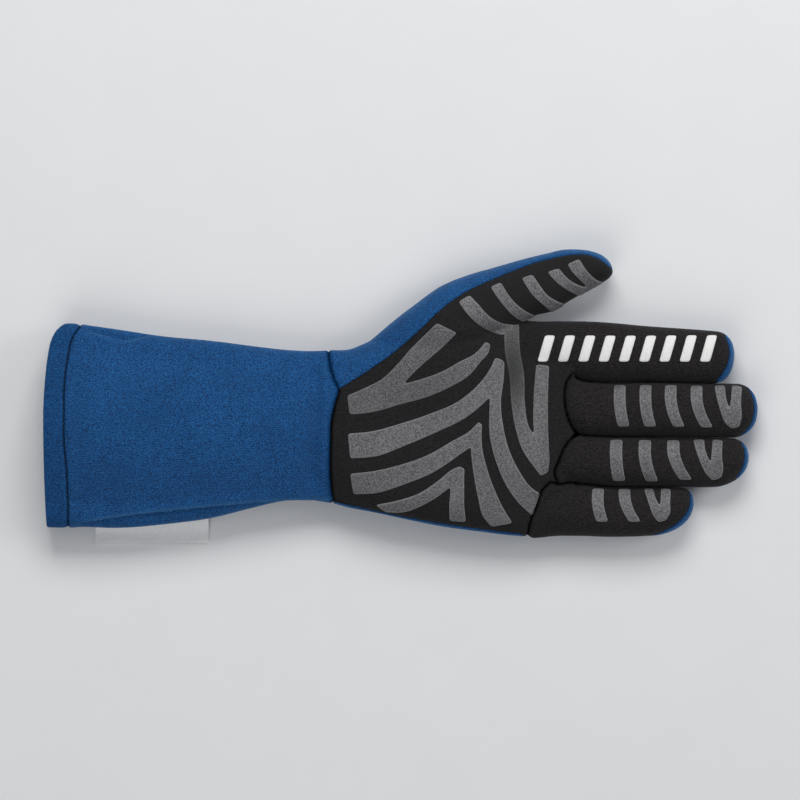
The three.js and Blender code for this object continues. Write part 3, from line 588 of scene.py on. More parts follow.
def relaxed(points, faces, rounds=10):
    """Evens out a surface without shrinking it."""
    edges = np.unique(np.sort(np.concatenate([faces[:, [0, 1]], faces[:, [1, 2]], faces[:, [2, 0]]]), axis=1),
                      axis=0)
    a, b = edges.T
    degree = np.bincount(np.concatenate([a, b]), minlength=len(points))[:, None]
    for _ in range(rounds):
        for pull in (0.55, -0.57):
            total = np.empty_like(points)
            for axis in range(3):
                total[:, axis] = (np.bincount(a, points[b, axis], len(points))
                                  + np.bincount(b, points[a, axis], len(points)))
            points = points + pull * (total / degree - points)
    return points


def corner_normals(points, faces):
    a, b, c = (points[faces[:, i]] for i in range(3))
    face = np.cross(b - a, c - a)
    out = np.zeros_like(points)
    for axis in range(3):
        for corner in range(3):
            out[:, axis] += np.bincount(faces[:, corner], face[:, axis], len(points))
    return out / np.maximum(np.linalg.norm(out, axis=1), 1e-12)[:, None]


def closed_up(points):
    """Brings the fingers back side by side."""
    x, y = points[:, 0], points[:, 1]
    spread = spread_at(x)
    shift = np.full(len(points), FINGER_PLACES["pinky"])
    for lower, upper in CREASES:
        rows = np.array(FINGERS[lower], float)
        crease = np.interp(x, rows[:, 0], rows[:, 1])
        start = crease - FINGER_GAP / 2 + spread * FINGER_PLACES[lower]
        end = crease + FINGER_GAP / 2 + spread * FINGER_PLACES[upper]
        shift += np.clip((y - start) / (end - start), 0, 1)
    out = points.copy()
    # The thumb lies beyond the index finger and isn't moved.
    out[:, 1] -= np.where(y > THUMB_CLEAR, 0, shift * spread)
    return out


def glove_skin():
    """The whole glove's outer surface, one closed body."""
    tubes = [tube(body_rows(), cap=False), tube(finger_rows("thumb"))]
    tubes += [tube(finger_rows(name), place=FINGER_PLACES[name]) for name in FINGERS]
    points, polygons, total = [], [], 0
    for place, faces in tubes:
        points.append(place)
        polygons += [[corner + total for corner in face] for face in faces]
        total += len(place)
    rough = link(make_mesh("rough", np.concatenate(points), polygons))
    remesh = rough.modifiers.new("skin", "REMESH")
    remesh.mode = "VOXEL"
    remesh.voxel_size = VOXEL * MM
    remesh.adaptivity = 0
    made = rough.evaluated_get(bpy.context.evaluated_depsgraph_get())
    points, faces = triangles_of(made.data)
    bpy.data.objects.remove(rough)
    points = relaxed(points, faces)
    points = closed_up(points)
    points[:, 2] = np.maximum(points[:, 2], 0)
    return points, faces


# Cutting a skin along lines

class Skin:
    """Triangles whose corners carry a place, a normal and named distances."""

    SNAP = 0.06  # corners this near to a line count as on it

    def __init__(self, data, faces, names):
        self.data, self.faces, self.names = data, faces, names

    def __getitem__(self, name):
        return self.data[:, self.names.index(name)]

    @property
    def points(self):
        return self.data[:, :3]

    @property
    def normals(self):
        normal = self.data[:, 3:6]
        return normal / np.maximum(np.linalg.norm(normal, axis=1), 1e-9)[:, None]

    def edges(self):
        ends = np.stack([self.faces, np.roll(self.faces, -1, axis=1)], axis=2)
        ends = np.sort(ends, axis=2)
        count = len(self.data)
        keys, ids = np.unique(ends[..., 0] * count + ends[..., 1], return_inverse=True)
        return np.stack([keys // count, keys % count], axis=1), ids.reshape(self.faces.shape)

    def split(self, edges, ids, chosen, share):
        """Puts a corner at share along each chosen edge and divides the triangles that meet it."""
        a, b = edges[chosen].T
        t = share[chosen][:, None]
        data = np.concatenate([self.data, self.data[a] * (1 - t) + self.data[b] * t])
        number = np.full(len(edges), -1)
        number[chosen] = len(self.data) + np.arange(len(a))
        marks = number[ids]
        hit = marks >= 0
        count = hit.sum(axis=1)
        faces = [self.faces[count == 0]]

        def turned(which, first):
            order = (first[:, None] + np.arange(3)) % 3
            f = np.take_along_axis(self.faces[which], order, axis=1)
            m = np.take_along_axis(marks[which], order, axis=1)
            return (*f.T, *m.T)

        one = count == 1
        f0, f1, f2, m0, m1, m2 = turned(one, np.argmax(hit[one], axis=1))
        faces += [np.stack([f0, m0, f2], axis=1), np.stack([m0, f1, f2], axis=1)]
        two = count == 2
        f0, f1, f2, m0, m1, m2 = turned(two, np.argmin(hit[two], axis=1))
        faces.append(np.stack([m1, f2, m2], axis=1))
        place = data[:, :3]
        straight = (np.linalg.norm(place[f0] - place[m1], axis=1)
                    <= np.linalg.norm(place[f1] - place[m2], axis=1))
        for pick, rows in ((straight, ((f0, f1, m1), (f0, m1, m2))),
                           (~straight, ((f0, f1, m2), (f1, m1, m2)))):
            faces += [np.stack([part[pick] for part in row], axis=1) for row in rows]
        three = count == 3
        f0, f1, f2, m0, m1, m2 = turned(three, np.zeros(three.sum(), int))
        faces += [np.stack(row, axis=1) for row in ((f0, m0, m2), (m0, f1, m1), (m1, f2, m2), (m0, m1, m2))]
        return Skin(data, np.concatenate(faces), self.names)

    def cut(self, values, zone=None):
        """Puts edges along the line where the values are 0, on the corners in the zone."""
        snapped = np.where(np.abs(values) < self.SNAP, 0, values)
        edges, ids = self.edges()
        va, vb = snapped[edges[:, 0]], snapped[edges[:, 1]]
        chosen = va * vb < 0
        if zone is not None:
            chosen &= zone[edges[:, 0]] & zone[edges[:, 1]]
        share = np.where(chosen, va / np.where(va == vb, 1, va - vb), 0)
        return self.split(edges, ids, chosen, share)

    def refined(self, zone, longest):
        """Halves the long edges whose ends are both in the zone."""
        edges, ids = self.edges()
        a, b = edges.T
        long = np.linalg.norm(self.points[a] - self.points[b], axis=1) > longest
        return self.split(edges, ids, long & zone[a] & zone[b], np.full(len(edges), 0.5))

    def part(self, faces):
        used, numbers = np.unique(faces, return_inverse=True)
        return Skin(self.data[used], numbers.reshape(faces.shape), self.names)

    def mean(self, values):
        return values[self.faces].mean(axis=1)


def between_fingers(plan):
    """1 in the creases between the fingers, where the black cloth reaches further down."""
    x, y = plan.T
    total = np.zeros(len(x))
    for lower, _ in CREASES:
        rows = np.array(FINGERS[lower], float)
        total += bell(y - np.interp(x, rows[:, 0], rows[:, 1]), 2.6)
    return total * smooth_step(x, 60, 68) * (1 - smooth_step(x, 136, 146))


def on_cuff(skin):
    return (skin["hand"] > -skin.SNAP) & (skin["hem"] > -skin.SNAP)


def dressed_skin():
    """The skin with its distances to each seam and region, and with edges along every seam."""
    points, faces = glove_skin()
    normals = corner_normals(points, faces)
    plan = points[:, :2]
    columns = {name: line.field(plan) for name, line in {**REGIONS, **SIDES}.items()}
    for name, lines in {"set_in": SET_IN_SEAMS, "flat": FLAT_SEAMS}.items():
        columns[name] = np.min([Line(line, False).field(plan) for line in lines], axis=0)
    # The set-in seam runs on a little way between the ring finger and the little one, and fades out.
    crease = Line(stretch(RING_PINKY, 0, 4), False).field(plan) + 4 * smooth_step(points[:, 0], 76, 90)
    columns["set_in"] = np.minimum(columns["set_in"], crease)
    on_fingers = smooth_step(points[:, 0], 60, 70)
    columns["above"] = points[:, 2] - HAND_SPLIT + FRONT_DROP * on_fingers + 3 * between_fingers(plan)
    data = np.concatenate([points, normals, np.stack(list(columns.values()), axis=1)], axis=1)
    skin = Skin(data, faces, ["x", "y", "z", "nx", "ny", "nz", *columns])

    skin = skin.cut(skin["mouth"])
    skin = skin.part(skin.faces[skin.mean(skin["mouth"]) > 0])
    for name in ("hem", "hand"):
        skin = skin.cut(skin[name])
        for level in (-1.5, -0.8, -0.3, 0.3, 0.8, 1.5):
            skin = skin.cut(skin[name] - level)
    for level in (0.25, 0.6, 1.1):
        skin = skin.cut(skin["mouth"] - level)
    skin = skin.cut(skin["above"], skin["hand"] < skin.SNAP)
    for name in REGIONS:
        skin = skin.cut(skin[name], (skin["above"] > -skin.SNAP) & (skin["hand"] < skin.SNAP))
    for name in ("set_in", "flat"):
        for share in (0.22, 0.5, 0.8):
            level = share * SEAMS[name][1]
            skin = skin.cut(skin[name] - level, (skin["above"] > -skin.SNAP) & (skin["hand"] < 0.1))
    skin = skin.cut(skin["thumb_side"], skin["hand"] < skin.SNAP)
    skin = skin.cut(skin["z"] - CUFF_SPLIT, on_cuff(skin))
    skin = skin.cut(skin["z"] - GUSSET_FOOT, on_cuff(skin) & (skin["fold"] < 4))
    for level in (0, 0.35, 0.8, 1.5):
        skin = skin.cut(skin["fold"] - level, on_cuff(skin) & (skin["z"] > GUSSET_FOOT - skin.SNAP))
    return skin


# Relief: how far the cloth stands out of, or sinks below, the plain form

def cusp(distance, width):
    """1 on a seam, falling quickly and then softly to 0 at width, as two stuffed edges do where they meet."""
    rest = 1 - np.clip(np.abs(distance) / width, 0, 1)
    return 1 - np.sqrt(np.maximum(1 - rest ** 2, 0))


def bell(distance, width):
    return np.exp(-(distance / width) ** 2)


def pinch(seam, distance):
    """How far a seam draws the cloth in at a distance from it."""
    depth, width = SEAMS[seam]
    return depth * cusp(distance, width)


def dents(plan):
    total = np.zeros(len(plan))
    for depth, width, rows in DENTS:
        points = stretch(rows)
        near = Line(points, False).field(plan, 3 * width)
        ends = np.minimum(*(np.linalg.norm(plan - points[end], axis=1) for end in (0, -1)))
        total += depth * bell(near, width) * smooth_step(ends, -width, 2.5 * width)
    return total


def relief(skin):
    x, y, z, hand, hem, fold, above, set_in = (
        skin[name] for name in ("x", "y", "z", "hand", "hem", "fold", "above", "set_in"))
    upper = smooth_step(z, HAND_SPLIT - 1.5, HAND_SPLIT + 1.5)
    out = np.zeros(len(z))
    # Finger fronts are set in: a deep seam with fuller cloth beyond it.
    out -= pinch("set_in", set_in) * upper
    beyond = np.min([skin[name] for name in ("middle_front", "ring_front", "pinky_front")], axis=0)
    out += 0.7 * smooth_step(-beyond, 0, 3) * bell(set_in, 9) * upper
    # Flat seams of the palm side, and the seam between it and the back
    out -= pinch("flat", skin["flat"]) * upper
    fronts = np.min([np.abs(np.maximum(-above, skin[name])) for name in REGIONS], axis=0)
    out -= np.where((hand < 0) & (fronts < 3), pinch("split", above), 0)
    # Wrist, hem and mouth all round
    for name in ("hand", "hem", "mouth"):
        out -= pinch(name, skin[name])
    out += np.where(hem < 0, 0.35 * smooth_step(-hem, 0.6, 2.2), 0.25 * bell(hem - 2.2, 2.0))
    # Rolled edge of the cuff's front over the side strip
    cuff = (hand > 0) & (hem > 0)
    along = smooth_step(x, -149, -138) * (1 - smooth_step(x, -42, -33))
    front_side = np.where(fold > 0, 0.7 * bell(fold - 0.6, 3.0) - pinch("fold", fold), 0)
    strip_side = np.where(fold <= 0, -0.5 * np.exp(fold / 4.0), 0)
    out += np.where(cuff & (z > GUSSET_FOOT), (front_side + strip_side) * along, 0)
    out -= np.where(cuff, pinch("side", z - np.where(y > 0, CUFF_SPLIT, GUSSET_FOOT)), 0)
    # Dents and slow waves in the cloth
    out -= dents(skin.points[:, :2]) * smooth_step(skin.normals[:, 2], 0.0, 0.5)
    waves = (np.sin(x / 11.0 + y / 17.0 + 0.7) + np.sin(x / 19.0 - y / 9.5 + 2.1)
             + 0.7 * np.sin(x / 7.1 + y / 6.3 + z / 5.0))
    return out + waves * (0.10 + 0.12 * smooth_step(hand, 2, 25)) * smooth_step(z, 0.5, 4)


# Making pieces

def shell(name, skin, upper, under, look, values=None):
    """A closed piece between two copies of the same triangles."""
    count = len(upper)
    faces = skin.faces
    a = faces.ravel()
    b = np.roll(faces, -1, axis=1).ravel()
    free = ~np.isin(a * count + b, b * count + a)
    a, b = a[free], b[free]
    rim = np.stack([b, a, a + count, b + count], axis=1)
    polygons = faces.tolist() + (faces[:, ::-1] + count).tolist() + rim.tolist()
    points = np.concatenate([upper, under])
    points[:, 2] = np.maximum(points[:, 2], CLEARANCE)
    mesh = make_mesh(name, points, polygons)
    mesh.polygons.foreach_set("use_smooth", np.ones(len(polygons), bool))
    mesh.set_sharp_from_angle(angle=np.radians(SHARP_ANGLE))
    for key, column in (values or {}).items():
        layer = mesh.attributes.new(key, "FLOAT", "POINT")
        layer.data.foreach_set("value", np.concatenate([column, column]).astype(np.float32))
    mesh.materials.append(look)
    piece = link(mesh)
    return piece


def placed(piece, node):
    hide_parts(node)
    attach(piece, "root")


def panels(skin, looks):
    """Every cloth panel of the glove."""
    height = relief(skin)
    wall = np.where(skin["hem"] < 0, HEM_WALL, WALL) - pinch("mouth", skin["mouth"])
    set_in, flat = (np.where(skin["above"] > -1, skin[name], 9) for name in ("set_in", "flat"))
    # Painted shade, together with the seams' own darker line: the cloth darkens along the wrist, set-in, hem
    # and flat seams, in the creases where shade falls, and the whole hem band is darkened a little more as
    # painted shade. This is kept as the "seam" attribute.
    shade = np.maximum.reduce([bell(skin["hand"], 1.1), 1.1 * bell(set_in, 0.6), bell(skin["hem"], 0.6),
                               0.6 * bell(flat, 0.45), 0.2 * (skin["hem"] < 0)])
    # Painted highlight: a lighter line along the crest where the cuff's front folds over the side strip.
    painted_fold_highlight = bell(skin["fold"] - 0.5, 0.8) * smooth_step(skin["x"], -150, -135) * (skin["hem"] > 0.5)
    upper = skin.points + skin.normals * height[:, None]
    under = skin.points - skin.normals * wall[:, None]

    hem, hand = skin.mean(skin["hem"]), skin.mean(skin["hand"])
    z, fold = skin.mean(skin["z"]), skin.mean(skin["fold"])
    owner = np.full(len(skin.faces), "back_panel", dtype=object)
    owner[skin.mean(skin["thumb_side"]) < 0] = "thumb_back"
    for name in REGIONS:
        owner[(skin.mean(skin["above"]) > 0) & (skin.mean(skin[name]) < 0)] = name
    # Where three finger seams meet, the odd triangle goes to the front beside it.
    meeting = (owner == "back_panel") & (skin.mean(skin["above"]) > 0) & (skin.mean(skin["set_in"]) < 0.6)
    fields = np.stack([skin.mean(skin[name]) for name in REGIONS])
    for name, field in zip(REGIONS, fields):
        owner[meeting & (field == fields.min(axis=0)) & (field < 0.4)] = name
    owner[hand > 0] = "cuff_back"
    owner[(hand > 0) & (z > CUFF_SPLIT)] = "cuff_front"
    owner[(hand > 0) & (z > GUSSET_FOOT) & (fold < 0)] = "cuff_gusset"
    owner[hem < 0] = "cuff_hem"

    for name in ("cuff_hem", "cuff_front", "cuff_gusset", "cuff_back", "back_panel", "thumb_back", *REGIONS):
        faces = skin.faces[owner == name]
        used = np.unique(faces)
        part = skin.part(faces)
        black = name in REGIONS
        look = looks["mesh"] if name == "thumb_front" else looks["black"] if black else looks["blue"]
        piece = shell(name + "_cloth", part, upper[used], under[used], look,
                      {"seam": shade[used], "painted_fold_highlight": painted_fold_highlight[used]})
        placed(piece, name)


# Print

def band_line(rows):
    """The closed outline of a band, with its corners rounded."""
    rows = np.array(rows, float)
    left, _ = curve(rows[:, 0:2], 0.4)
    right, _ = curve(rows[:, 2:4], 0.4)
    points = dense(np.concatenate([left, right[::-1]]), OUTLINE_STEP)
    reach = int(4.2 * CORNER_SOFTNESS / OUTLINE_STEP)
    shifts = range(-reach, reach + 1)
    weights = np.exp(-(np.array(shifts) * OUTLINE_STEP / CORNER_SOFTNESS) ** 2 / 2)
    weights /= weights.sum()
    soft = sum(weight * np.roll(points, shift, axis=0) for weight, shift in zip(weights, shifts))
    return Line(soft, True)


def bar_rows(x, y, width, length, lean, bow):
    rows = []
    for share in (0, 0.35, 0.7, 1):
        middle = x + lean * share ** 2 - bow * share * (1 - share)
        rows.append([middle - width / 2, y - length * share, middle + width / 2, y - length * share])
    return rows


def index_bar_rows(number):
    bars = INDEX_BARS
    x = bars["first"] + (bars["last"] - bars["first"]) * number / (bars["count"] - 1)
    rows = []
    for share in (0, 0.5, 1):
        middle = x + bars["slant"] * (0.5 - share)
        y = bars["y"] + bars["length"] * (0.5 - share)
        rows.append([middle - bars["width"] / 2, y, middle + bars["width"] / 2, y])
    return rows


def union(fields):
    """The least of the distances, eased where two are alike, so that a crotch is rounded."""
    out = fields[0]
    for other in fields[1:]:
        share = np.clip(0.5 + 0.5 * (other - out) / CROTCH, 0, 1)
        out = other * (1 - share) + out * share - CROTCH * share * (1 - share)
    return out


def print_piece(name, bands, rise, skin, look):
    """A raised print with rounded shoulders that follows the cloth below it."""
    lines = [band_line(rows) for rows in bands]
    low = np.min([line.points.min(axis=0) for line in lines], axis=0) - 2
    high = np.max([line.points.max(axis=0) for line in lines], axis=0) + 2
    plan = skin.points[:, :2]
    near = ((plan > low) & (plan < high)).all(axis=1) & (skin["z"] > HAND_SPLIT + 1) & (skin["nz"] > 0.02)
    part = skin.part(skin.faces[near[skin.faces].all(axis=1)])

    def inside(some):
        return union([line.field(some.points[:, :2], 6.0) for line in lines]) - PRINT_GROWTH

    for longest in (0.75, 0.42):
        part = part.refined(np.abs(inside(part)) < 1.3, longest)
    part = part.cut(inside(part))
    part = part.part(part.faces[part.mean(inside(part)) < 0])
    for level in (0.1, 0.25, 0.5, PRINT_SHOULDER):
        part = part.cut(inside(part) + level)
    depth = np.clip(-inside(part), 0, None)
    height = rise * (PRINT_EDGE + (1 - PRINT_EDGE) * (1 - cusp(depth, PRINT_SHOULDER)))
    base = relief(part) + pinch("flat", part["flat"])
    upper = part.points + part.normals * (base + height)[:, None]
    under = part.points + part.normals * (base - PRINT_BED)[:, None]
    # Painted shade: the print is darkened round the places listed for it above.
    painted_print_shade = np.zeros(len(depth))
    for x, y, reach_x, reach_y, amount in PAINTED_PRINT_SHADE.get(name, []):
        painted_print_shade += amount * bell(np.linalg.norm((part.points[:, :2] - (x, y)) / (reach_x, reach_y), axis=1), 1)
    # Near the edge the material mixes in the rim colour: on the grip print a painted highlight along the
    # rounded edge.
    values = {"edge": bell(depth, 0.45), "painted_print_shade": painted_print_shade}
    placed(shell(name + "_print", part, upper, under, look, values), name)


def prints(skin, looks):
    bars = {name: [bar_rows(*sizes)] for name, sizes in BARS.items()}
    for name, bands in {**BANDS, **bars}.items():
        print_piece(name, bands, PRINT_RISE, skin, looks["grip"])
    for number in range(INDEX_BARS["count"]):
        print_piece(f"index_bar_{number + 1}", [index_bar_rows(number)], BAR_RISE, skin, looks["white"])


# Materials

class Tree:
    """Adds shader nodes by kind, with sockets or numbers for their inputs."""

    def __init__(self, name):
        self.material = bpy.data.materials.new(name)
        self.material.use_nodes = True
        self.tree = self.material.node_tree
        self.tree.nodes.clear()

    def add(self, kind, inputs=None, out=0, **settings):
        node = self.tree.nodes.new("ShaderNode" + kind)
        for key, value in settings.items():
            setattr(node, key, value)
        for key, value in (inputs or {}).items():
            socket = node.inputs[key]
            if isinstance(value, bpy.types.NodeSocket):
                self.tree.links.new(value, socket)
            else:
                socket.default_value = value
        return node.outputs[out] if len(node.outputs) else None

    def stored(self, name):
        return self.add("Attribute", out=2, attribute_name=name)

    def maths(self, operation, *values):
        return self.add("Math", dict(enumerate(values)), operation=operation)

    def times(self, value, factor):
        return self.maths("MULTIPLY", value, factor)

    def wave(self, value, length):
        return self.maths("SINE", self.times(value, 2 * np.pi / length))

    def mix(self, share, first, second):
        return self.add("Mix", {0: share, 6: first, 7: second}, out=2, data_type="RGBA")

    def ramp(self, value, low, high, to_low=0.0, to_high=1.0):
        return self.add("MapRange", {0: value, 1: low, 2: high, 3: to_low, 4: to_high})

    def noise(self, place, scale, detail=2.0, rough=0.5):
        return self.add("TexNoise", {"Vector": place, "Scale": scale, "Detail": detail, "Roughness": rough})

    def finish(self, colour, height, strength, distance, **sockets):
        bump = self.add("Bump", {"Height": height, "Strength": strength, "Distance": distance * MM})
        shader = self.add("BsdfPrincipled", {"Base Color": colour, "Normal": bump, **sockets})
        self.add("OutputMaterial", {"Surface": shader})
        return self.material


def in_space(tree):
    """The place in millimetres."""
    return tree.add("VectorMath", {0: tree.add("TexCoord", out=3), 3: 1 / MM}, operation="SCALE")


def apart(tree, vector):
    return tree.add("SeparateXYZ", {0: vector}).node.outputs


def fabric_places(tree):
    """The place in millimetres, and the places along the hand and round it."""
    space = in_space(tree)
    x, y, z = apart(tree, space)
    facing = apart(tree, tree.add("TexCoord", out=1))[2]
    flat = tree.maths("GREATER_THAN", tree.maths("ABSOLUTE", facing), 0.55)
    return space, x, tree.add("Mix", {0: flat, 2: z, 3: y}, data_type="FLOAT")


def knit_height(tree, x, around, pitch, course):
    """Columns of stitches along the hand, each a row of small chevrons."""
    column = tree.maths("FRACT", tree.maths("DIVIDE", around, pitch))
    ridge = tree.wave(column, 2)
    lean = tree.maths("ABSOLUTE", tree.maths("SUBTRACT", column, 0.5))
    phase = tree.maths("ADD", tree.maths("DIVIDE", x, course), tree.times(lean, 1.2))
    return ridge, tree.maths("MULTIPLY_ADD", tree.wave(phase, 1), 0.3, ridge)


def blue_knit():
    tree = Tree("blue_knit")
    space, x, around = fabric_places(tree)
    ridge, knit = knit_height(tree, x, around, 0.95, 0.85)
    grain_place = tree.add("VectorMath", {0: space, 1: (0.7, 1.1, 1.1)}, operation="MULTIPLY")
    grain = tree.noise(grain_place, 2.3, 2.0, 0.6)
    cloud = tree.noise(space, 0.05, 2.0)
    seam = tree.stored("seam")
    speckle = tree.ramp(grain, 0.38, 0.62)
    colour = tree.mix(speckle, (0.0006, 0.0115, 0.056, 1), (0.0145, 0.118, 0.345, 1))
    colour = tree.mix(tree.ramp(ridge, 0.0, 1.0, 0.0, 0.16), colour, (0.020, 0.115, 0.310, 1))
    colour = tree.mix(tree.ramp(cloud, 0.35, 0.65, 0.0, 0.22), colour, (0.003, 0.030, 0.110, 1))
    # Painted shade along the seams from the "seam" attribute, with the seams' own darker line; gloss and
    # sheen fall there too to darken them further.
    colour = tree.mix(tree.times(seam, 0.7), colour, (0.001, 0.008, 0.022, 1))
    # Painted highlight along the crest of the cuff's fold.
    colour = tree.mix(tree.times(tree.stored("painted_fold_highlight"), 0.4), colour, (0.045, 0.165, 0.34, 1))
    height = tree.maths("MULTIPLY_ADD", grain, 1.3, knit)
    gloss = tree.ramp(seam, 0.0, 0.8, 0.2, 0.02)
    fuzz = tree.ramp(seam, 0.0, 0.8, 0.45, 0.0)
    return tree.finish(colour, height, 0.55, 0.16, **{
        "Roughness": 0.92, "Specular IOR Level": gloss, "Sheen Weight": fuzz, "Sheen Roughness": 0.4,
        "Sheen Tint": (0.35, 0.65, 1.0, 1)})


def black_knit():
    tree = Tree("black_knit")
    space, x, around = fabric_places(tree)
    ridge, knit = knit_height(tree, x, around, 0.9, 0.9)
    grain_place = tree.add("VectorMath", {0: space, 1: (0.6, 1.2, 1.2)}, operation="MULTIPLY")
    grain = tree.noise(grain_place, 1.5, 2.0, 0.6)
    cloud = tree.noise(space, 0.06, 2.0)
    seam = tree.stored("seam")
    speckle = tree.ramp(grain, 0.38, 0.62)
    palm = tree.mix(speckle, (0.0022, 0.0020, 0.0024, 1), (0.0155, 0.0148, 0.0162, 1))
    finger = tree.mix(speckle, (0.0008, 0.0006, 0.0007, 1), (0.0225, 0.0188, 0.0198, 1))
    colour = tree.mix(tree.ramp(x, 62.0, 82.0), palm, finger)
    colour = tree.mix(tree.ramp(ridge, 0.0, 1.0, 0.0, 0.30), colour, (0.024, 0.0215, 0.0235, 1))
    colour = tree.mix(tree.ramp(cloud, 0.35, 0.65, 0.0, 0.2), colour, (0.008, 0.0074, 0.0082, 1))
    # Painted shade along the seams from the "seam" attribute, with the seams' own darker line; gloss and
    # sheen fall there too to darken them further.
    colour = tree.mix(tree.times(seam, 0.8), colour, (0.0008, 0.0008, 0.0008, 1))
    height = tree.maths("MULTIPLY_ADD", grain, 0.8, knit)
    gloss = tree.ramp(seam, 0.0, 0.8, 0.22, 0.02)
    fuzz = tree.ramp(seam, 0.0, 0.8, 0.05, 0.0)
    return tree.finish(colour, height, 0.5, 0.14, **{
        "Roughness": 0.9, "Specular IOR Level": gloss, "Sheen Weight": fuzz, "Sheen Roughness": 0.5})


def thumb_mesh():
    """The thumb's cloth: small dots in slanted rows."""
    tree = Tree("black_mesh")
    space = in_space(tree)
    x, y, _ = apart(tree, space)
    pitch = 1.05
    waves = [tree.wave(tree.maths("ADD", tree.times(x, share_x), tree.times(y, share_y)), pitch)
             for share_x, share_y in ((0.87, -0.5), (0.5, 0.87))]
    dots = tree.ramp(tree.times(*waves), -0.6, 0.6)
    grain = tree.noise(space, 1.6, 2.0, 0.6)
    seam = tree.stored("seam")
    colour = tree.mix(tree.ramp(grain, 0.3, 0.7), (0.0055, 0.0054, 0.0060, 1), (0.0130, 0.0126, 0.0135, 1))
    colour = tree.mix(tree.times(dots, 0.5), colour, (0.034, 0.033, 0.035, 1))
    # Painted shade along the seams from the "seam" attribute, with the seams' own darker line.
    colour = tree.mix(tree.times(seam, 0.6), colour, (0.001, 0.001, 0.001, 1))
    height = tree.maths("MULTIPLY_ADD", grain, 0.5, dots)
    return tree.finish(colour, height, 0.5, 0.16, **{
        "Roughness": 0.92, "Specular IOR Level": 0.15, "Sheen Weight": 0.03, "Sheen Roughness": 0.5})


def print_look(name, dark, light, rim, coarse):
    """Rubbery print with a speckled face, a rim colour along its edge and darker places of painted shade. On
    the grip print the rim is a painted highlight.
    """
    tree = Tree(name)
    space = in_space(tree)
    speckle = tree.noise(space, 1.3, 4.0, 0.7)
    fine = tree.noise(space, 2.6, 2.0, 0.6)
    cloud = tree.noise(space, 0.045, 2.0)
    both = tree.maths("MULTIPLY_ADD", fine, 0.45, tree.times(speckle, 0.55))
    colour = tree.mix(tree.ramp(both, 0.44, 0.56), dark, light)
    colour = tree.mix(tree.ramp(cloud, 0.35, 0.65, 0.0, 0.25), colour, dark)
    # Rim colour near the edge: a painted highlight on the grip print, a darker line on the white print.
    colour = tree.mix(tree.times(tree.stored("edge"), 0.7), colour, rim)
    # Painted shade: darker where the print lies in less light.
    colour = tree.mix(tree.stored("painted_print_shade"), colour, (0.0135, 0.0150, 0.0142, 1))
    height = tree.maths("MULTIPLY_ADD", fine, 0.6, speckle)
    return tree.finish(colour, height, coarse, 0.12, **{"Roughness": 0.62, "Specular IOR Level": 0.35})


def label_weave():
    tree = Tree("label_weave")
    space, x, around = fabric_places(tree)
    thread = 0.5
    weave = tree.times(tree.wave(x, thread), tree.wave(around, thread))
    grain = tree.noise(space, 0.8, 3.0, 0.6)
    colour = tree.mix(tree.ramp(grain, 0.3, 0.7), (0.82, 0.825, 0.82, 1), (0.92, 0.92, 0.91, 1))
    colour = tree.mix(tree.ramp(weave, -1.0, 1.0, 0.0, 0.15), colour, (0.70, 0.71, 0.72, 1))
    return tree.finish(colour, weave, 0.3, 0.06, **{
        "Roughness": 0.55, "Specular IOR Level": 0.4, "Sheen Weight": 0.1, "Sheen Roughness": 0.4})


def thread_look():
    tree = Tree("dark_thread")
    _, x, around = fabric_places(tree)
    twist = tree.wave(tree.maths("ADD", x, around), 0.35)
    colour = tree.mix(tree.ramp(twist, -1.0, 1.0), (0.0025, 0.006, 0.012, 1), (0.006, 0.014, 0.028, 1))
    return tree.finish(colour, twist, 0.4, 0.05, **{"Roughness": 0.7, "Specular IOR Level": 0.35})


def floor_look():
    tree = Tree("pale_floor")
    grain = tree.noise(tree.add("TexCoord", out=3), 30.0, 3.0)
    colour = tree.mix(grain, (0.78, 0.785, 0.79, 1), (0.81, 0.815, 0.82, 1))
    return tree.finish(colour, grain, 0.02, 0.1, **{"Roughness": 0.85, "Specular IOR Level": 0.2})


# Stitches and label

def surface_finder(skin):
    """Gives the upper surface's height over a place in plan, from its nearest corner."""
    top = skin["nz"] > 0.1
    points = skin.points[top] + skin.normals[top] * relief(skin)[top, None]
    tree = KDTree(len(points))
    for i, point in enumerate(points):
        tree.insert((point[0], point[1], 0), i)
    tree.balance()
    return lambda x, y: points[tree.find((x, y, 0))[1]][2]


def stitch_points(radius, length):
    """One stitch: a short bent thread with six sides and closed ends."""
    rings = []
    for share in np.linspace(-1, 1, 7):
        thick = radius * max(0.15, np.sqrt(1 - share ** 4))
        sink = -0.45 * radius * share ** 2 * 2
        angle = 2 * np.pi * np.arange(6) / 6
        rings.append(np.stack([np.full(6, share * length / 2), thick * np.cos(angle),
                               sink + thick * np.sin(angle)], axis=1))
    return np.array(rings)


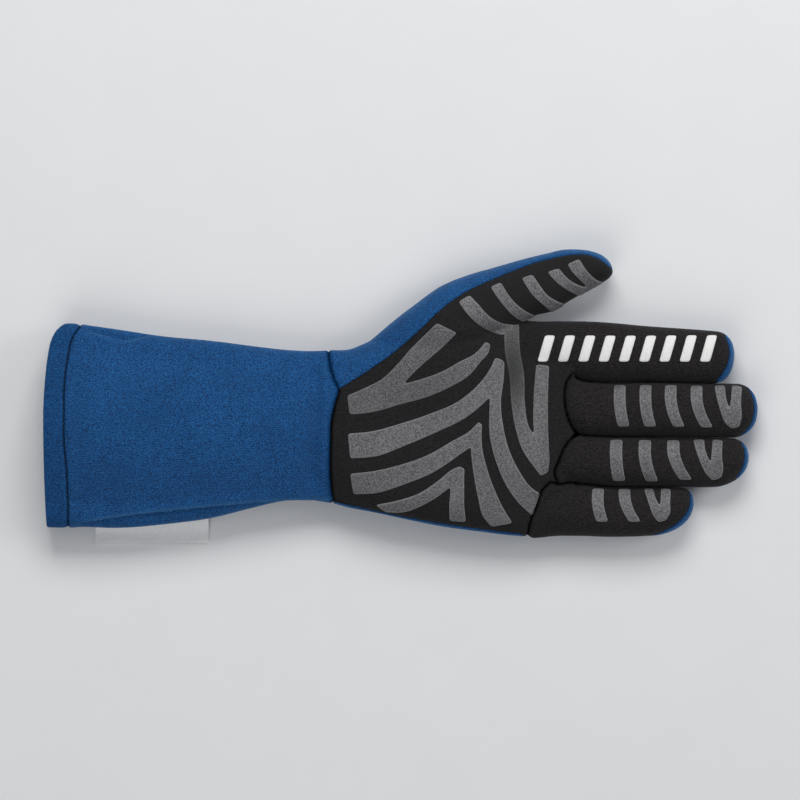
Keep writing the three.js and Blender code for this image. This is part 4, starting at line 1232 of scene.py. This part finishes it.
def hem_stitches(skin, look):
    """A row of short stitches along the hem's seam."""
    line, _ = curve(HEM, 0.2)
    line = line[(line[:, 1] < STITCHED[1]) & (line[:, 1] > STITCHED[0])]
    steps = np.concatenate([[0], np.cumsum(np.linalg.norm(np.diff(line, axis=0), axis=1))])
    height = surface_finder(skin)
    pitch, length, radius, proud = 2.0, 1.75, 0.27, 0.22
    form = stitch_points(radius, length)
    sides = form.shape[1]
    points, polygons, total = [], [], 0
    for at in np.arange(1.0, steps[-1] - 1.0, pitch):
        ends = [np.array([np.interp(at + side * length / 2, steps, line[:, axis]) for axis in (0, 1)])
                for side in (-1, 1)]
        low, high = (height(*end) for end in ends)
        along = np.append(ends[1] - ends[0], np.clip(high - low, -0.6, 0.6))
        along /= np.linalg.norm(along)
        across = np.cross([0, 0, 1], along)
        across /= np.linalg.norm(across)
        up = np.cross(along, across)
        middle = np.append((ends[0] + ends[1]) / 2, (low + high) / 2 + proud)
        rings = middle + form @ np.stack([along, across, up])
        points.append(rings.reshape(-1, 3))
        for ring in range(len(form) - 1):
            for side in range(sides):
                a, b = ring * sides + side, ring * sides + (side + 1) % sides
                polygons.append([total + corner for corner in (a, a + sides, b + sides, b)])
        polygons.append([total + side for side in range(sides)])
        polygons.append([total + (len(form) - 1) * sides + side for side in range(sides)][::-1])
        total += len(points[-1])
    mesh = make_mesh("hem_stitches", np.concatenate(points), polygons)
    mesh.polygons.foreach_set("use_smooth", np.ones(len(polygons), bool))
    mesh.materials.append(look)
    piece = link(mesh)
    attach(piece, "root")


def side_label(look):
    """The blank woven tab: it leaves the side seam, bends down and lies on the floor."""
    low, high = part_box("side_label")
    x0, x1 = low.x / MM, high.x / MM
    edge = low.y / MM
    lie, drop = 0.75, 4.6  # height of the lying part, and how far it comes down from the side seam
    cloth, folded = 0.42, 0.3  # thickness, and what the turned edges add to it
    rows, columns = 61, 29
    grid_u, grid_v = np.meshgrid(np.linspace(0, 1, rows), np.linspace(0, 1, columns), indexing="ij")
    x = x0 + (x1 - x0) * grid_u
    body = np.array(BODY, float)
    thumb, little = (np.interp(x, body[:, 0], body[:, column]) for column in (1, 2))
    seam = (thumb + little) / 2 - 0.9 * (thumb - little) / 2 + 1.5
    y = seam + (edge - seam) * grid_v
    fall = 1 - smooth_step(grid_v, 0.0, 0.75)
    wave = 0.22 * np.sin(grid_u * 9.0 + 0.6) * grid_v + 0.12 * np.sin(grid_u * 21.0)
    z = lie + drop * fall + np.abs(wave) * (0.4 + grid_v)
    upper = np.stack([x, y, z], axis=2).reshape(-1, 3)
    border = np.minimum(np.minimum(grid_u, 1 - grid_u) * (x1 - x0), (1 - grid_v) * abs(edge - seam)).ravel()
    thick = cloth + folded * smooth_step(-border, -1.6, -1.1)
    i, j = np.meshgrid(np.arange(rows - 1), np.arange(columns - 1), indexing="ij")
    a = (i * columns + j).ravel()
    b, c = a + columns, a + columns + 1
    faces = np.concatenate([np.stack([a, a + 1, c], axis=1), np.stack([a, c, b], axis=1)])
    half = np.outer(thick, [0, 0, 0.5])
    grid = Skin(upper, faces, ["x", "y", "z"])
    placed(shell("side_label_cloth", grid, upper + half, upper - half, look), "side_label")


# Stage, lights and camera

def area_light(name, place, target, size, power):
    lamp = bpy.data.lights.new(name, "AREA")
    lamp.shape = "RECTANGLE"
    lamp.size, lamp.size_y = size
    lamp.energy = power
    made = link(lamp)
    made.location = place
    made.rotation_euler = (Vector(target) - Vector(place)).to_track_quat("-Z", "Y").to_euler()


def stage():
    half = 25.0
    corners = np.array([[-half, -half, 0], [half, -half, 0], [half, half, 0], [-half, half, 0]]) / MM
    floor = link(make_mesh("floor", corners, [[0, 1, 2, 3]]))
    floor.data.materials.append(floor_look())
    world = bpy.data.worlds.new("studio")
    world.use_nodes = True
    sky = world.node_tree.nodes["Background"].inputs
    sky["Color"].default_value = (0.92, 0.95, 1.0, 1)
    sky["Strength"].default_value = 0.21
    bpy.context.scene.world = world
    area_light("key", (0.0, 1.0, 0.95), (0, 0, 0.01), (1.0, 0.6), 12.6)
    area_light("fill", (-0.45, -1.0, 1.05), (0, 0, 0.01), (1.2, 1.2), 6.6)
    area_light("edge", (1.1, 0.25, 0.6), (0.05, 0, 0.01), (0.5, 0.9), 4.2)


def camera():
    """Looks straight down from far off, so that the view is nearly without perspective."""
    lens, sensor = 500.0, 36.0
    middle, level, wide = (-0.0002, -0.0018), 0.012, 0.36  # the picture's middle, and its width at that level
    data = bpy.data.cameras.new("camera")
    data.lens, data.sensor_width = lens, sensor
    data.clip_start, data.clip_end = 0.05, 100.0
    made = link(data)
    made.location = (*middle, wide * lens / sensor + level)
    bpy.context.scene.camera = made


def build():
    camera()
    stage()
    bpy.context.scene.view_settings.view_transform = "Standard"
    looks = {
        "blue": blue_knit(),
        "black": black_knit(),
        "mesh": thumb_mesh(),
        # The third colour of each print is its rim: a painted highlight on the grip print.
        "grip": print_look("grip_print", (0.060, 0.058, 0.061, 1), (0.222, 0.214, 0.223, 1),
                           (0.225, 0.220, 0.228, 1), 0.7),
        "white": print_look("white_print", (0.74, 0.735, 0.72, 1), (0.86, 0.855, 0.84, 1),
                            (0.62, 0.62, 0.61, 1), 0.25),
    }
    skin = dressed_skin()
    panels(skin, looks)
    prints(skin, looks)
    hem_stitches(skin, thread_look())
    side_label(label_weave())


build()
